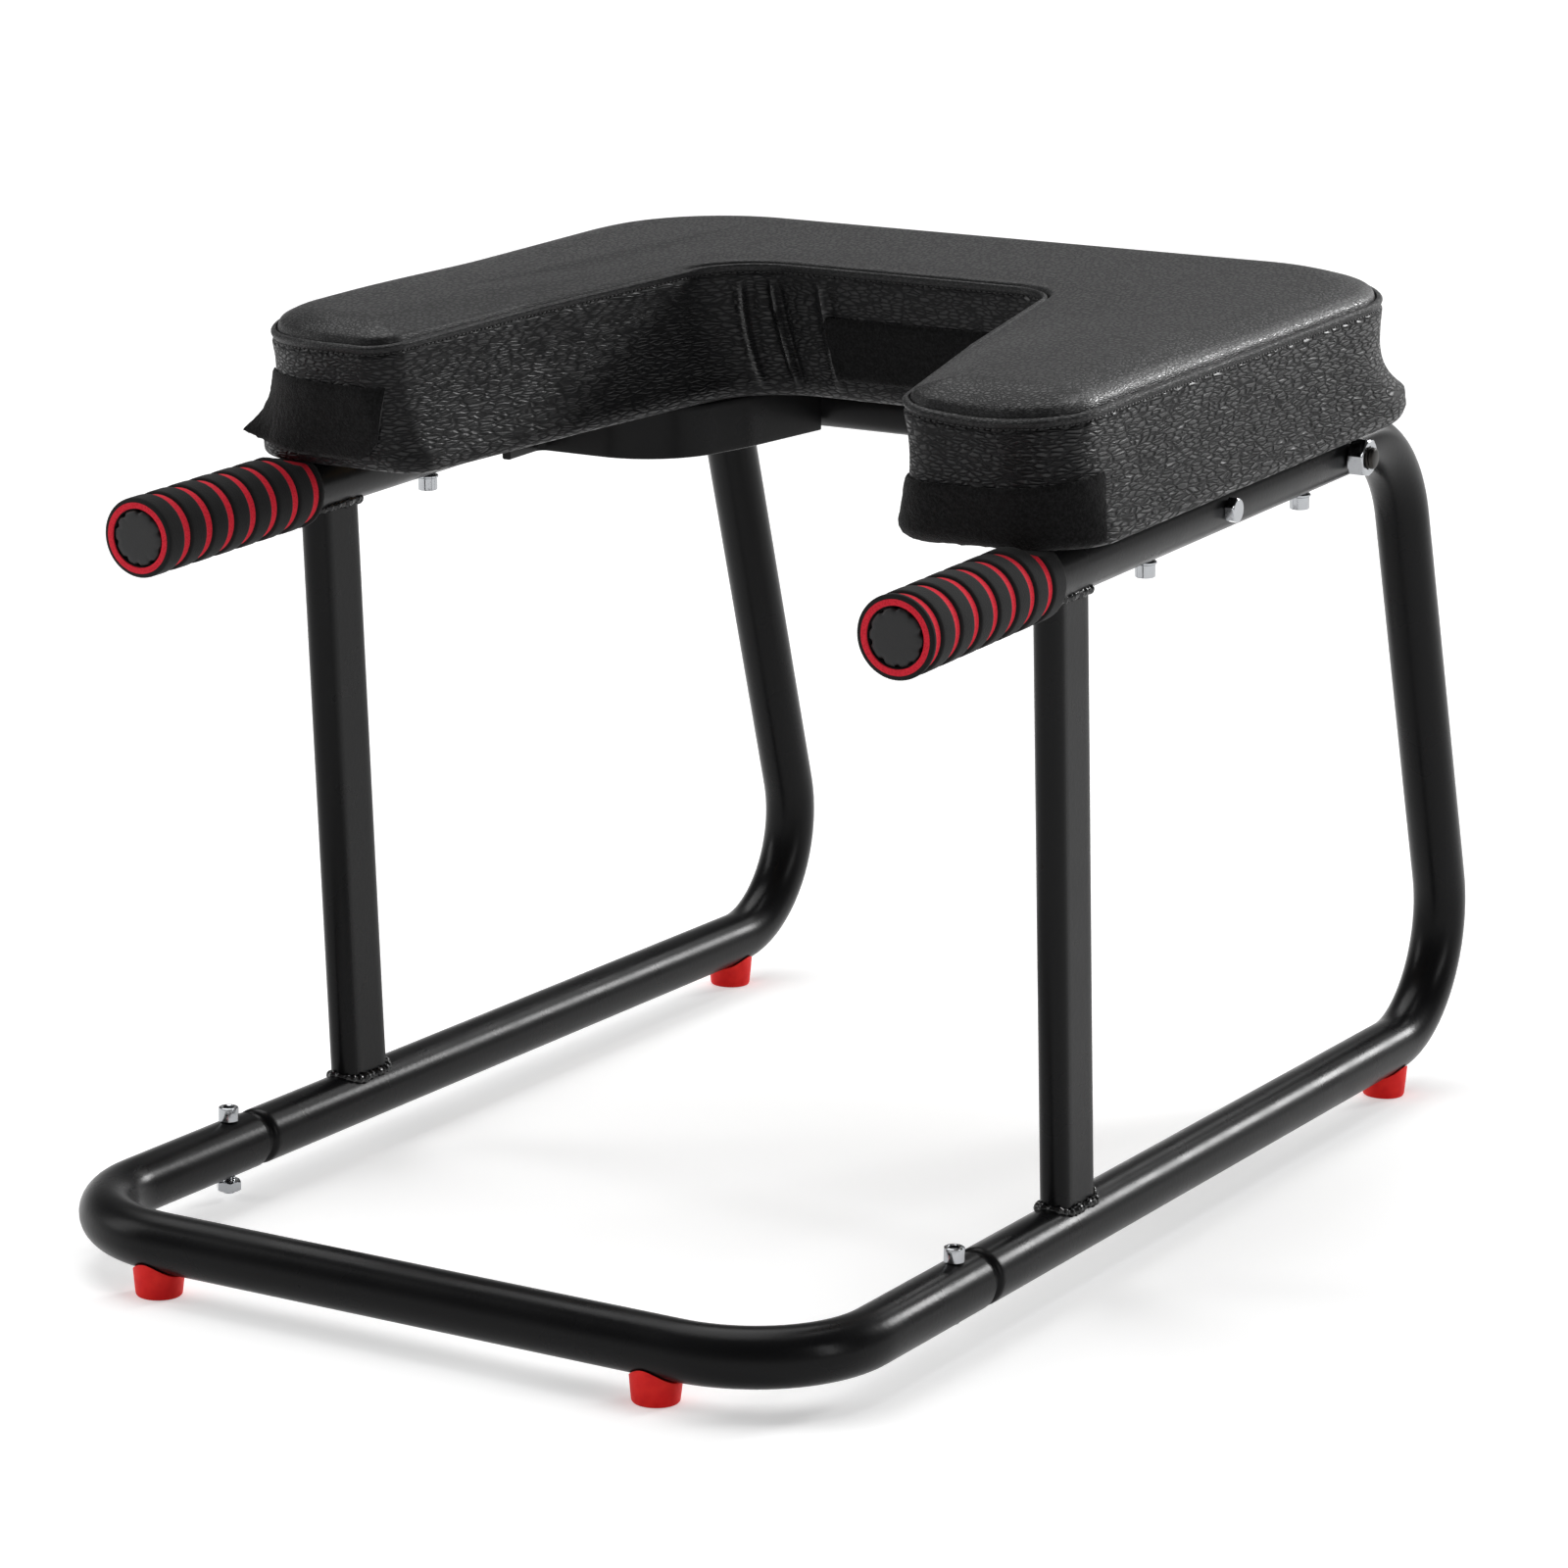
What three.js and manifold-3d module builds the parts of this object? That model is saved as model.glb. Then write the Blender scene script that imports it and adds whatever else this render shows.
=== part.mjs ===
// Headstand stool: a U-shaped padded shoulder rest on a bolted frame of bent round steel tube,
// with two foam hand grips at the front. Millimetres, +Z up, +Y to the back of the stool, +X to
// the right as seen from the grips. The origin is on the floor under the middle of the stool.

import * as THREE from 'three';
import { mergeVertices } from 'three/addons/utils/BufferGeometryUtils.js';
import Module from 'manifold-3d';

const wasm = await Module();
wasm.setup();

// Clearances and cutting
const fit = 0.3;              // gap between pieces that rest on or pass through each other
const overrun = 8;            // how far a cutter runs past what it cuts

// Round frame tube
const tubeR = 12.5;           // outer radius, one-inch tube
const tubeWall = 1.5;
const boreR = tubeR - tubeWall;

// Side frames: top rail, rear leg and floor rail bent from one tube, one on each side
const railX = 181.1;          // rail centre line from the middle
const floorRailZ = 22.7;      // height of the floor rails' centre line
const deckZ = 315.6;          // height of the top rails' centre line at y = 0
const deckRise = 10.97;       // rise of the top rails over deckRun, towards the back
const deckRun = 250;
const rearTopY = 226.75;      // where top rail and rear leg would meet as sharp corners
const rearBottomY = 331.2;
const rearTopBendR = 62;
const rearBottomBendR = 55;
const handleEndY = -244.7;    // front end of the top rail, along the rail
const jointY = -170;          // where the front floor tube meets the floor rails
const jointNeck = 4.2;        // narrow neck that shows between the front tube and the full rail
const spigotLength = 42;      // swaged end of the floor rail that slides into the front tube
const spigotWall = 1.5;

// Front floor tube, a wide U
const frontTubeY = -309.15;
const frontBendR = 56;

// Front legs: flat-oval tube welded between top rail and floor rail
const legTopY = -107.75;
const legFootY = -82.45;
const legWidth = 14;          // across the stool
const legDepth = 33;          // along the stool
const legWall = 1.5;

// Joint bolts, socket cap screws standing through the telescoped floor tubes
const jointBoltY = -184.55;
const jointBoltR = 3;
const jointHeadR = 4.4;
const jointHeadHeight = 6.2;
const jointSocketR = 2.4;
const jointSocketDepth = 3;
const jointNutFlats = 10;
const jointNutHeight = 4.6;
const jointNutGap = 1.9;      // shank showing between the tube and the nut
const jointBoltTip = 1.2;     // thread showing past the nut, or past the tube on the right

// Rear cross tube between the top rails, held by a stud and nut at each end
const crossT = 154.4;         // place along the top rails
const studR = 5;
const studPlugThickness = 5;
const studPlugInset = 24;     // plug's outer face from the rail's centre line
const studTip = 2.8;
const studNutFlats = 16;
const studNutHeight = 8;

// Support arms: flat bar on edge, from the rail's inner side to the cross tube
const armThickness = 4.5;
const armHeight = 24.4;
const armBoltT = 25.8;        // bolt's place along the top rails
const armTabLength = 12.5;    // tab in front of the bolt
const armStepT = 41;          // where the bar runs across
const armTabBendR = 6;
const armMainBendR = 42;
const armKneeX = 99;          // where the bar turns back, from the middle
const armKneeSideX = 84.5;
const armKneeSideT = 92;
const armEndX = 75.5;
const armBoltR = 3;
const armHeadFlats = 10;
const armHeadHeight = 4.2;
const armNutHeight = 5;
const armBoltTip = 2;

// Rubber feet pushed into the tubes from below
const footTopR = 10.9;
const footBottomR = 9.75;
const footHeight = 13;
const footStemR = 3.7;
const footStemReach = 2.5;    // stem past the tube's wall, inside the bore
const frontFootLeftX = 127;
const frontFootRightX = 115.3;
const frontFeet = [-frontFootLeftX, frontFootRightX];
const rearFootY = 250.65;

// Hand grips and the plugs in the rails' front ends
const gripR = 17.2;
const gripGrooveR = 16;
const gripFaceR = 15.7;
const gripLength = 113;
const gripGrooves = 7;
const gripGrooveWidth = 5.2;
const gripShortBand = 2.8;    // black band between the groove nearest to one end and that end
const gripLongBand = 10.8;    // and at the other end, in front on the left grip
const gripEdge = 1.6;
const plugHeadR = 12;
const plugHeadThickness = 3;
const plugStemLength = 16;
const plugStemWall = 2;
const plugNotches = 10;
const plugNotchWidth = 1.6;
const plugNotchDepth = 1;

// Seat: plan of its bottom edge, right half, measured along the deck
const seatOverhang = 28.4;    // side of the seat beyond the rail's centre line
const seatBackT = 234.5;
const seatFrontT = -140;
const notchBackT = 97;
const notchHalf = 80;         // half width of the head opening at its back
const mouthHalf = 115;        // and at the front
const notchBendHalf = 99;
const notchBendT = -18;
// How far the seam line lies inside (or, if negative, outside) the bottom edge
const sideLean = 5.5;
const backLean = 17.5;
const frontLean = -11;
const notchBackLean = -11;
const notchSideLean = 3.5;
const mouthLean = 8;
const notchBendLean = 7;
const notchBendSlip = 27;
const seatBackR = 76;
const seatFrontR = 34;
const seatMouthR = 19;
const seatNotchR = 30;
const seatBendR = 150;
const seamHeight = 57;        // seam above the rails' tops
const crownRise = 8;          // middle of the top panel above the seam
const mouthRise = 1;          // seam round the head opening above the outer seam: at the front,
const notchRise = 6;          // and at the back
const wallDrawIn = 2.6;       // side walls pulled in at half height
const crownShoulder = 29;     // from the seam to where the top panel is level
const pipingOut = 0.9;
const bottomEdge = 5.5;       // rounding of the bottom edge
const coverThickness = 1.5;
const hemPastRail = 5.6;      // cover turned under the board, past the rail's centre line
const minCornerR = 2.5;
const boardThickness = 12;
const boardGap = 4;           // board's edge inside the cover's rounded bottom edge
const foamGap = 0.9;

// Seat bolts from under the rails into tee nuts in the board
const seatBoltTs = [-29.4, 125.3];
const seatBoltR = 3;
const seatHeadR = 4.5;
const seatHeadHeight = 7;
const teeFlangeR = 9;
const teeFlangeThickness = 1.5;
const teeBarrelR = 4.3;
const teeBarrelLength = 9;

// Loop-fastener patches sewn to the side walls
const patchThickness = 2;
const leftPatch = { low: 1.8, high: 36 };
const rightPatch = { low: 1.8, high: 31 };
const rearPatch = { low: 9, high: 36 };

// How finely round shapes are cut
const tubeSides = 18;
const boltSides = 12;
const holeSides = 10;
const bendSteps = 6;

// Materials from the photograph
const powderBlack = { color: 0x161617, roughness: 0.42, metalness: 0.3 };
const chrome = { color: 0xd4d6d8, roughness: 0.12, metalness: 1 };
const zinc = { color: 0xb9bcc0, roughness: 0.35, metalness: 1 };
const redRubber = { color: 0xc42a30, roughness: 0.7, metalness: 0 };
const blackFoam = { color: 0x1c1c1c, roughness: 0.9, metalness: 0 };
const blackPlastic = { color: 0x141414, roughness: 0.5, metalness: 0 };
const leather = { color: 0x232324, roughness: 0.55, metalness: 0 };
const loopPile = { color: 0x0c0c0c, roughness: 1, metalness: 0 };
const plywood = { color: 0xc69c6d, roughness: 0.8, metalness: 0 };
const foamYellow = { color: 0xd9cf9f, roughness: 1, metalness: 0 };

const V = (x, y, z) => new THREE.Vector3(x, y, z);
const model = new THREE.Group();
model.name = 'headstand_stool';

// The deck is the sloping plane of the top rails' centre lines. Its own y runs along the rails.
const slope = Math.atan2(deckRise, deckRun);
const deck = new THREE.Group();
deck.position.set(0, 0, deckZ);
deck.rotation.x = slope;
model.add(deck);
deck.updateMatrixWorld(true);
const onDeck = (x, t, n) => V(x, t, n).applyMatrix4(deck.matrixWorld);
const deckInverse = deck.matrixWorld.clone().invert();
const toDeck = (v) => v.applyMatrix4(deckInverse);

// Closed triangle mesh to solid and back
function toSolid(geometry) {
  const g = geometry.clone();
  g.deleteAttribute('normal');
  g.deleteAttribute('uv');
  const merged = mergeVertices(g, fit / 1000);
  const index = merged.index.array;
  const tris = [];
  for (let i = 0; i < index.length; i += 3) {
    const [a, b, c] = [index[i], index[i + 1], index[i + 2]];
    if (a !== b && b !== c && c !== a) tris.push(a, b, c);
  }
  return new wasm.Manifold(new wasm.Mesh({
    numProp: 3,
    vertProperties: new Float32Array(merged.attributes.position.array),
    triVerts: new Uint32Array(tris),
  }));
}

function toGeometry(solid) {
  const mesh = solid.getMesh();
  const g = new THREE.BufferGeometry();
  g.setAttribute('position', new THREE.Float32BufferAttribute(mesh.vertProperties, mesh.numProp));
  g.setIndex(Array.from(mesh.triVerts));
  g.computeVertexNormals();
  return g;
}

function add(parent, name, shape, look) {
  const geometry = shape.isBufferGeometry ? shape : toGeometry(shape);
  const mesh = new THREE.Mesh(geometry, new THREE.MeshStandardMaterial(look));
  mesh.name = name;
  parent.add(mesh);
  return mesh;
}

// Regular polygon with its corners on radius r
function ring(r, sides, turnShare = 0) {
  return Array.from({ length: sides }, (_, i) => {
    const a = (i + turnShare) / sides * Math.PI * 2;
    return new THREE.Vector2(r * Math.cos(a), r * Math.sin(a));
  });
}

// Rod between two points
function rod(a, b, r, sides = boltSides, turnShare = 0) {
  const axis = b.clone().sub(a);
  const g = new THREE.ExtrudeGeometry(new THREE.Shape(ring(r, sides, turnShare)),
    { depth: axis.length(), bevelEnabled: false, steps: 1 });
  const turn = new THREE.Quaternion().setFromUnitVectors(V(0, 0, 1), axis.normalize());
  g.applyQuaternion(turn).translate(a.x, a.y, a.z);
  return toSolid(g);
}

// Clearance hole for a rod of radius r
const hole = (a, b, r) => rod(a, b, (r + fit) / Math.cos(Math.PI / holeSides), holeSides);

// Turned shape: profile of [radius, place] pairs about the axis from a towards b
function turned(profile, a, b, sides = boltSides) {
  const g = new THREE.LatheGeometry(profile.map(([r, h]) => new THREE.Vector2(r, h)), sides);
  const turn = new THREE.Quaternion().setFromUnitVectors(V(0, 1, 0), b.clone().sub(a).normalize());
  g.applyQuaternion(turn).translate(a.x, a.y, a.z);
  const s = toSolid(g);
  return s.volume() < 0 ? toSolid(flipped(g)) : s;
}

function flipped(geometry) {
  const g = geometry.clone();
  const index = Array.from(g.index.array);
  for (let i = 0; i < index.length; i += 3) [index[i], index[i + 1]] = [index[i + 1], index[i]];
  g.setIndex(index);
  return g;
}

const hexR = (flats) => flats / 2 / Math.cos(Math.PI / 6);

// A path with exact points and directions at its knots, so that straight runs need no steps
class KnotPath extends THREE.Curve {
  constructor(knots) { super(); this.knots = knots; }
  knot(u) { return this.knots[Math.round(u * (this.knots.length - 1))]; }
  getPoint(u, target = new THREE.Vector3()) { return target.copy(this.knot(u).at); }
  getPointAt(u, target = new THREE.Vector3()) { return target.copy(this.knot(u).at); }
  getTangent(u, target = new THREE.Vector3()) { return target.copy(this.knot(u).to); }
  getTangentAt(u, target = new THREE.Vector3()) { return target.copy(this.knot(u).to); }
}

// Knots of a polyline whose corners are rounded to the given radii
function rounded(corners, radii, steps = bendSteps) {
  const knots = [];
  const last = corners.length - 1;
  corners.forEach((c, i) => {
    if (i === 0) knots.push({ at: c.clone(), to: corners[1].clone().sub(c).normalize() });
    else if (i === last) knots.push({ at: c.clone(), to: c.clone().sub(corners[i - 1]).normalize() });
    else {
      const back = corners[i - 1].clone().sub(c).normalize();
      const on = corners[i + 1].clone().sub(c).normalize();
      const half = Math.acos(THREE.MathUtils.clamp(back.dot(on), -1, 1)) / 2;
      const r = radii[i - 1];
      const centre = c.clone().addScaledVector(back.clone().add(on).normalize(), r / Math.sin(half));
      const from = c.clone().addScaledVector(back, r / Math.tan(half)).sub(centre).divideScalar(r);
      const side = back.clone().negate();
      const sweep = Math.PI - 2 * half;
      for (let k = 0; k <= steps; k++) {
        const a = sweep * k / steps;
        const out = from.clone().multiplyScalar(Math.cos(a)).addScaledVector(side, Math.sin(a));
        const to = side.clone().multiplyScalar(Math.cos(a)).addScaledVector(from, -Math.sin(a));
        knots.push({ at: centre.clone().addScaledVector(out, r), to });
      }
    }
  });
  return knots;
}

// Solid round bar along rounded corners
function bentBar(corners, radii, r) {
  const path = new KnotPath(rounded(corners, radii));
  const g = new THREE.ExtrudeGeometry(new THREE.Shape(ring(r, tubeSides, 1 / 2)),
    { steps: path.knots.length - 1, extrudePath: path, bevelEnabled: false });
  const s = toSolid(g);
  return s.volume() < 0 ? toSolid(flipped(mergeVertices(g))) : s;
}

const railTop = tubeR + fit;  // what rests on the tube clears it by the fit
const swageR = boreR - fit - fit / 4;

// Side frames

function sideFrame(s) {
  const x = s * railX;
  const corners = [
    onDeck(x, handleEndY, 0),
    V(x, rearTopY, deckZ + rearTopY * deckRise / deckRun),
    V(x, rearBottomY, floorRailZ),
    V(x, jointY + jointNeck, floorRailZ),
  ];
  const outer = bentBar(corners, [rearTopBendR, rearBottomBendR], tubeR);
  const open = corners.map((c) => c.clone());
  open[0] = onDeck(x, handleEndY - overrun, 0);
  open[open.length - 1] = V(x, jointY + jointNeck + 2 * tubeWall, floorRailZ);
  const inner = bentBar(open, [rearTopBendR, rearBottomBendR], boreR);
  const swage = rod(V(x, jointY + jointNeck + tubeWall, floorRailZ), V(x, jointY - spigotLength, floorRailZ),
    swageR, tubeSides, 1 / 2);
  const swageBore = rod(V(x, jointY + jointNeck + overrun, floorRailZ),
    V(x, jointY - spigotLength - overrun, floorRailZ), swageR - spigotWall, tubeSides, 1 / 2);
  let tube = outer.subtract(inner).add(swage).subtract(swageBore);
  for (const t of seatBoltTs) {
    tube = tube.subtract(hole(onDeck(x, t, -tubeR - overrun), onDeck(x, t, tubeR + overrun), seatBoltR));
  }
  const across = (t, r) => hole(onDeck(x - tubeR - overrun, t, 0), onDeck(x + tubeR + overrun, t, 0), r);
  tube = tube.subtract(across(armBoltT, armBoltR)).subtract(across(crossT, studR));
  tube = tube.subtract(hole(V(x, jointBoltY, 0), V(x, jointBoltY, floorRailZ + tubeR + overrun),
    jointBoltR));
  return tube.subtract(hole(V(x, rearFootY, 0), V(x, rearFootY, floorRailZ), footStemR));
}

// Front floor tube
function frontBar(endY, radius) {
  return bentBar([V(-railX, endY, floorRailZ), V(-railX, frontTubeY, floorRailZ),
    V(railX, frontTubeY, floorRailZ), V(railX, endY, floorRailZ)], [frontBendR, frontBendR], radius);
}
function frontTube() {
  let tube = frontBar(jointY - fit, tubeR).subtract(frontBar(jointY + overrun, boreR));
  for (const s of [-1, 1]) {
    tube = tube.subtract(hole(V(s * railX, jointBoltY, 0),
      V(s * railX, jointBoltY, floorRailZ + tubeR + overrun), jointBoltR));
  }
  for (const x of frontFeet) {
    tube = tube.subtract(hole(V(x, frontTubeY, 0), V(x, frontTubeY, floorRailZ), footStemR));
  }
  return tube;
}

// Flat-oval section, long side along y
function ovalShape(width, depth) {
  const shape = new THREE.Shape();
  const r = width / 2;
  const flat = depth / 2 - r;
  const steps = bendSteps;
  const points = [];
  for (const [end, start] of [[1, 0], [-1, Math.PI]]) {
    for (let k = 0; k <= steps; k++) {
      const a = start + Math.PI * k / steps;
      points.push(new THREE.Vector2(r * Math.cos(a), end * flat + r * Math.sin(a)));
    }
  }
  shape.setFromPoints(points);
  return shape;
}

// Flat-oval bar along a front leg's axis, in the frame that place maps to
function legBar(s, grow, extra, place = (v) => v) {
  const x = s * railX;
  const top = place(V(x, legTopY, deckZ + legTopY * deckRise / deckRun));
  const foot = place(V(x, legFootY, floorRailZ));
  const axis = top.clone().sub(foot);
  const g = new THREE.ExtrudeGeometry(ovalShape(legWidth + 2 * grow, legDepth + 2 * grow),
    { depth: axis.length() + 2 * extra, bevelEnabled: false, steps: 1 });
  g.translate(0, 0, -extra);
  g.applyQuaternion(new THREE.Quaternion().setFromUnitVectors(V(0, 0, 1), axis.normalize()));
  return toSolid(g.translate(foot.x, foot.y, foot.z));
}

function frontLeg(s) {
  const x = s * railX;
  return legBar(s, 0, 0).subtract(legBar(s, -legWall, overrun))
    .subtract(rod(onDeck(x, legTopY - legDepth - overrun, 0), onDeck(x, legTopY + legDepth + overrun, 0),
      railTop, tubeSides, 1 / 2))
    .subtract(rod(V(x, legFootY - legDepth - overrun, floorRailZ),
      V(x, legFootY + legDepth + overrun, floorRailZ), railTop, tubeSides, 1 / 2));
}

for (const [side, s] of [['left', -1], ['right', 1]]) {
  add(model, `${side}_side_frame`, sideFrame(s), powderBlack);
  add(model, `${side}_front_leg`, frontLeg(s), powderBlack);
}
add(model, 'front_floor_tube', frontTube(), powderBlack);

// Joint bolts, and the nut that shows under the left one
for (const [side, s] of [['left', -1], ['right', 1]]) {
  const x = s * railX;
  const seat = floorRailZ + railTop;
  const under = floorRailZ - railTop - jointNutGap;
  const nutLow = under - jointNutHeight;
  const low = (s > 0 ? floorRailZ - railTop : nutLow) - jointBoltTip;
  const head = turned([[0, low], [jointBoltR, low],
    [jointBoltR, seat], [jointHeadR, seat], [jointHeadR, seat + jointHeadHeight],
    [0, seat + jointHeadHeight]], V(x, jointBoltY, 0), V(x, jointBoltY, 1));
  const socket = rod(V(x, jointBoltY, seat + jointHeadHeight - jointSocketDepth),
    V(x, jointBoltY, seat + jointHeadHeight + overrun), jointSocketR, 6);
  add(model, `${side}_joint_bolt`, head.subtract(socket), chrome);
  if (s < 0) {
    const nut = rod(V(x, jointBoltY, nutLow), V(x, jointBoltY, under), hexR(jointNutFlats), 6)
      .subtract(hole(V(x, jointBoltY, nutLow - overrun), V(x, jointBoltY, under + overrun), jointBoltR));
    add(model, `${side}_joint_nut`, nut, chrome);
  }
}

// Feet
function foot(x, y, saddle) {
  const cone = turned([[0, 0], [footBottomR, 0], [footTopR, footHeight], [0, footHeight]],
    V(x, y, 0), V(x, y, 1), tubeSides);
  const stemTop = floorRailZ - boreR + footStemReach;
  return cone.subtract(saddle)
    .add(rod(V(x, y, footHeight / 3), V(x, y, stemTop), footStemR));
}
for (const [i, side, s] of [[0, 'left', -1], [1, 'right', 1]]) {
  const x = s * railX;
  const reach = footTopR + overrun;
  const rail = rod(V(x, rearFootY - reach, floorRailZ), V(x, rearFootY + reach, floorRailZ), railTop, tubeSides,
    1 / 2);
  add(model, `front_${side}_foot`, foot(frontFeet[i], frontTubeY, frontBar(jointY, railTop)), redRubber);
  add(model, `rear_${side}_foot`, foot(x, rearFootY, rail), redRubber);
}

// Rear cross tube, its studs and nuts
{
  const end = (x) => V(x, crossT, 0);
  let tube = rod(end(-railX), end(railX), tubeR, tubeSides, 1 / 2)
    .subtract(rod(end(-railX - overrun), end(railX + overrun), boreR, tubeSides, 1 / 2));
  for (const s of [-1, 1]) {
    tube = tube.subtract(rod(V(s * railX, crossT - tubeR - overrun, 0),
      V(s * railX, crossT + tubeR + overrun, 0), railTop, tubeSides, 1 / 2));
  }
  add(deck, 'rear_cross_tube', tube, powderBlack);
  for (const [side, s] of [['left', -1], ['right', 1]]) {
    const plugOut = railX - studPlugInset;
    const nutFrom = railX + railTop;
    const stud = turned([[0, plugOut - studPlugThickness], [swageR, plugOut - studPlugThickness],
      [swageR, plugOut], [studR, plugOut], [studR, nutFrom + studNutHeight + studTip],
      [0, nutFrom + studNutHeight + studTip]], V(0, crossT, 0), V(s, crossT, 0), tubeSides);
    add(deck, `${side}_cross_stud`, stud, powderBlack);
    const nut = rod(V(s * nutFrom, crossT, 0), V(s * (nutFrom + studNutHeight), crossT, 0),
      hexR(studNutFlats), 6, 1 / 2)
      .subtract(hole(V(s * (nutFrom - overrun), crossT, 0),
        V(s * (nutFrom + studNutHeight + overrun), crossT, 0), studR));
    add(deck, `${side}_cross_nut`, nut, chrome);
  }
}

// Support arms with their bolts and nuts
for (const [side, s] of [['left', -1], ['right', 1]]) {
  const tabX = railX - railTop - armThickness / 2;
  const knots = rounded([V(tabX, armBoltT - armTabLength, 0), V(tabX, armStepT, 0),
    V(armKneeX, armStepT, 0), V(armKneeSideX, armKneeSideT, 0), V(armEndX, crossT, 0)],
  [armTabBendR, armMainBendR, armMainBendR + armMainBendR], bendSteps);
  const half = armThickness / 2;
  const offset = (k, d) => new THREE.Vector2(s * (k.at.x - d * k.to.y), k.at.y + d * k.to.x);
  const plan = knots.map((k) => offset(k, half)).concat(knots.map((k) => offset(k, -half)).reverse());
  const g = new THREE.ExtrudeGeometry(new THREE.Shape(plan), { depth: armHeight, bevelEnabled: false });
  g.translate(0, 0, -armHeight / 2);
  const innerFace = railX - railTop - armThickness - fit;
  const outerFace = railX + railTop;
  const bar = toSolid(g)
    .subtract(rod(V(0, crossT, 0), V(s * railX, crossT, 0), railTop, tubeSides, 1 / 2))
    .subtract(hole(V(s * (innerFace - overrun), armBoltT, 0), V(s * railX, armBoltT, 0), armBoltR));
  add(deck, `${side}_support_arm`, bar, powderBlack);
  const bolt = rod(V(s * outerFace, armBoltT, 0), V(s * (outerFace + armHeadHeight), armBoltT, 0),
    hexR(armHeadFlats), 6, 1 / 2)
    .add(rod(V(s * (innerFace - armNutHeight - armBoltTip), armBoltT, 0),
      V(s * (outerFace + armHeadHeight / 2), armBoltT, 0), armBoltR));
  add(deck, `${side}_arm_bolt`, bolt, chrome);
  const nut = rod(V(s * (innerFace - armNutHeight), armBoltT, 0), V(s * innerFace, armBoltT, 0),
    hexR(armHeadFlats), 6, 1 / 2)
    .subtract(hole(V(s * (innerFace - armNutHeight - overrun), armBoltT, 0),
      V(s * (innerFace + overrun), armBoltT, 0), armBoltR));
  add(deck, `${side}_arm_nut`, nut, chrome);
}

// Hand grips: foam sleeves with ring grooves, pressed flat under the seat's front edge
const gripFront = handleEndY - plugHeadThickness;
for (const [side, s] of [['left', -1], ['right', 1]]) {
  const x = s * railX;
  const pitch = (gripLength - gripShortBand - gripLongBand - gripGrooveWidth) / (gripGrooves - 1);
  const frontBand = s > 0 ? gripShortBand : gripLongBand;
  const ramp = gripR - gripGrooveR;
  const profile = [[railTop, 0], [gripFaceR, 0], [gripR, gripEdge]];
  for (let i = 0; i < gripGrooves; i++) {
    const end = frontBand + i * pitch;
    profile.push([gripR, end - ramp / 2], [gripGrooveR, end],
      [gripGrooveR, end + gripGrooveWidth], [gripR, end + gripGrooveWidth + ramp / 2]);
  }
  profile.push([gripR, gripLength - gripEdge], [gripFaceR, gripLength], [railTop, gripLength], [railTop, 0]);
  const sleeve = turned(profile, V(x, gripFront, 0), V(x, gripFront + gripLength, 0), tubeSides);
  const seatFront = seatFrontT + frontLean - patchThickness - 2 * fit;
  const press = new THREE.BoxGeometry(4 * gripR, gripLength, 2 * gripR);
  press.translate(x, seatFront + gripLength / 2, tubeR + gripR);
  const grip = sleeve.subtract(toSolid(press)).subtract(legBar(s, fit, 0, toDeck));
  add(deck, `${side}_grip`, grip, blackFoam);

  const plug = turned([[0, 0], [plugHeadR, 0], [plugHeadR, plugHeadThickness - fit],
    [swageR, plugHeadThickness - fit], [swageR, plugHeadThickness + plugStemLength],
    [swageR - plugStemWall, plugHeadThickness + plugStemLength],
    [swageR - plugStemWall, plugHeadThickness], [0, plugHeadThickness]],
  V(x, gripFront, 0), V(x, gripFront + gripLength, 0), tubeSides);
  let head = plug;
  for (let i = 0; i < plugNotches; i++) {
    const a = i / plugNotches * 2 * Math.PI;
    const notch = new THREE.BoxGeometry(2 * plugNotchDepth, plugHeadThickness, plugNotchWidth);
    notch.translate(plugHeadR, -fit, 0).rotateY(a).translate(x, gripFront, 0);
    head = head.subtract(toSolid(notch));
  }
  add(deck, `${side}_handle_plug`, head, blackPlastic);
}

// Seat outline. The right half's corners are mirrored, then rounded, with the same number of
// points at every level, so that all levels join into one skin.
const seatBottom = { halfWidth: railX + seatOverhang, backT: seatBackT, frontT: seatFrontT,
  notchT: notchBackT, notchHalf, mouthHalf, bendHalf: notchBendHalf, bendT: notchBendT };
const seatTop = { halfWidth: seatBottom.halfWidth - sideLean, backT: seatBackT - backLean,
  frontT: seatFrontT + frontLean, notchT: notchBackT + notchBackLean,
  notchHalf: notchHalf + notchSideLean,
  mouthHalf: mouthHalf + mouthLean, bendHalf: notchBendHalf + notchBendLean,
  bendT: notchBendT - notchBendSlip };
const hemWidth = seatOverhang + hemPastRail;
function seatCorners(share) {
  const at = (key) => THREE.MathUtils.lerp(seatBottom[key], seatTop[key], share);
  const half = [
    [at('halfWidth'), at('backT'), seatBackR, 1],
    [at('halfWidth'), at('frontT'), seatFrontR, 1],
    [at('mouthHalf'), at('frontT'), seatMouthR, 1],
    [at('bendHalf'), at('bendT'), seatBendR, -1],
    [at('notchHalf'), at('notchT'), seatNotchR, -1],
  ];
  const mirrored = half.map(([x, t, r, k]) => [-x, t, r, k]).reverse();
  return half.concat(mirrored);
}

// Offsets every edge of a closed corner list inwards by d, then rounds the corners
const arcSteps = [4, 4, 4, 2, 3, 3, 2, 4, 4, 4];
const sideShares = [[1 / 2], [1 / 2], [], [], [1 / 2], [], [], [1 / 2], [1 / 2], [1 / 2]];
// Where each corner's arc starts in the ring
const arcStart = [];
arcSteps.reduce((sum, steps, i) => { arcStart.push(sum); return sum + steps + 1 + sideShares[i].length; }, 0);

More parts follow.
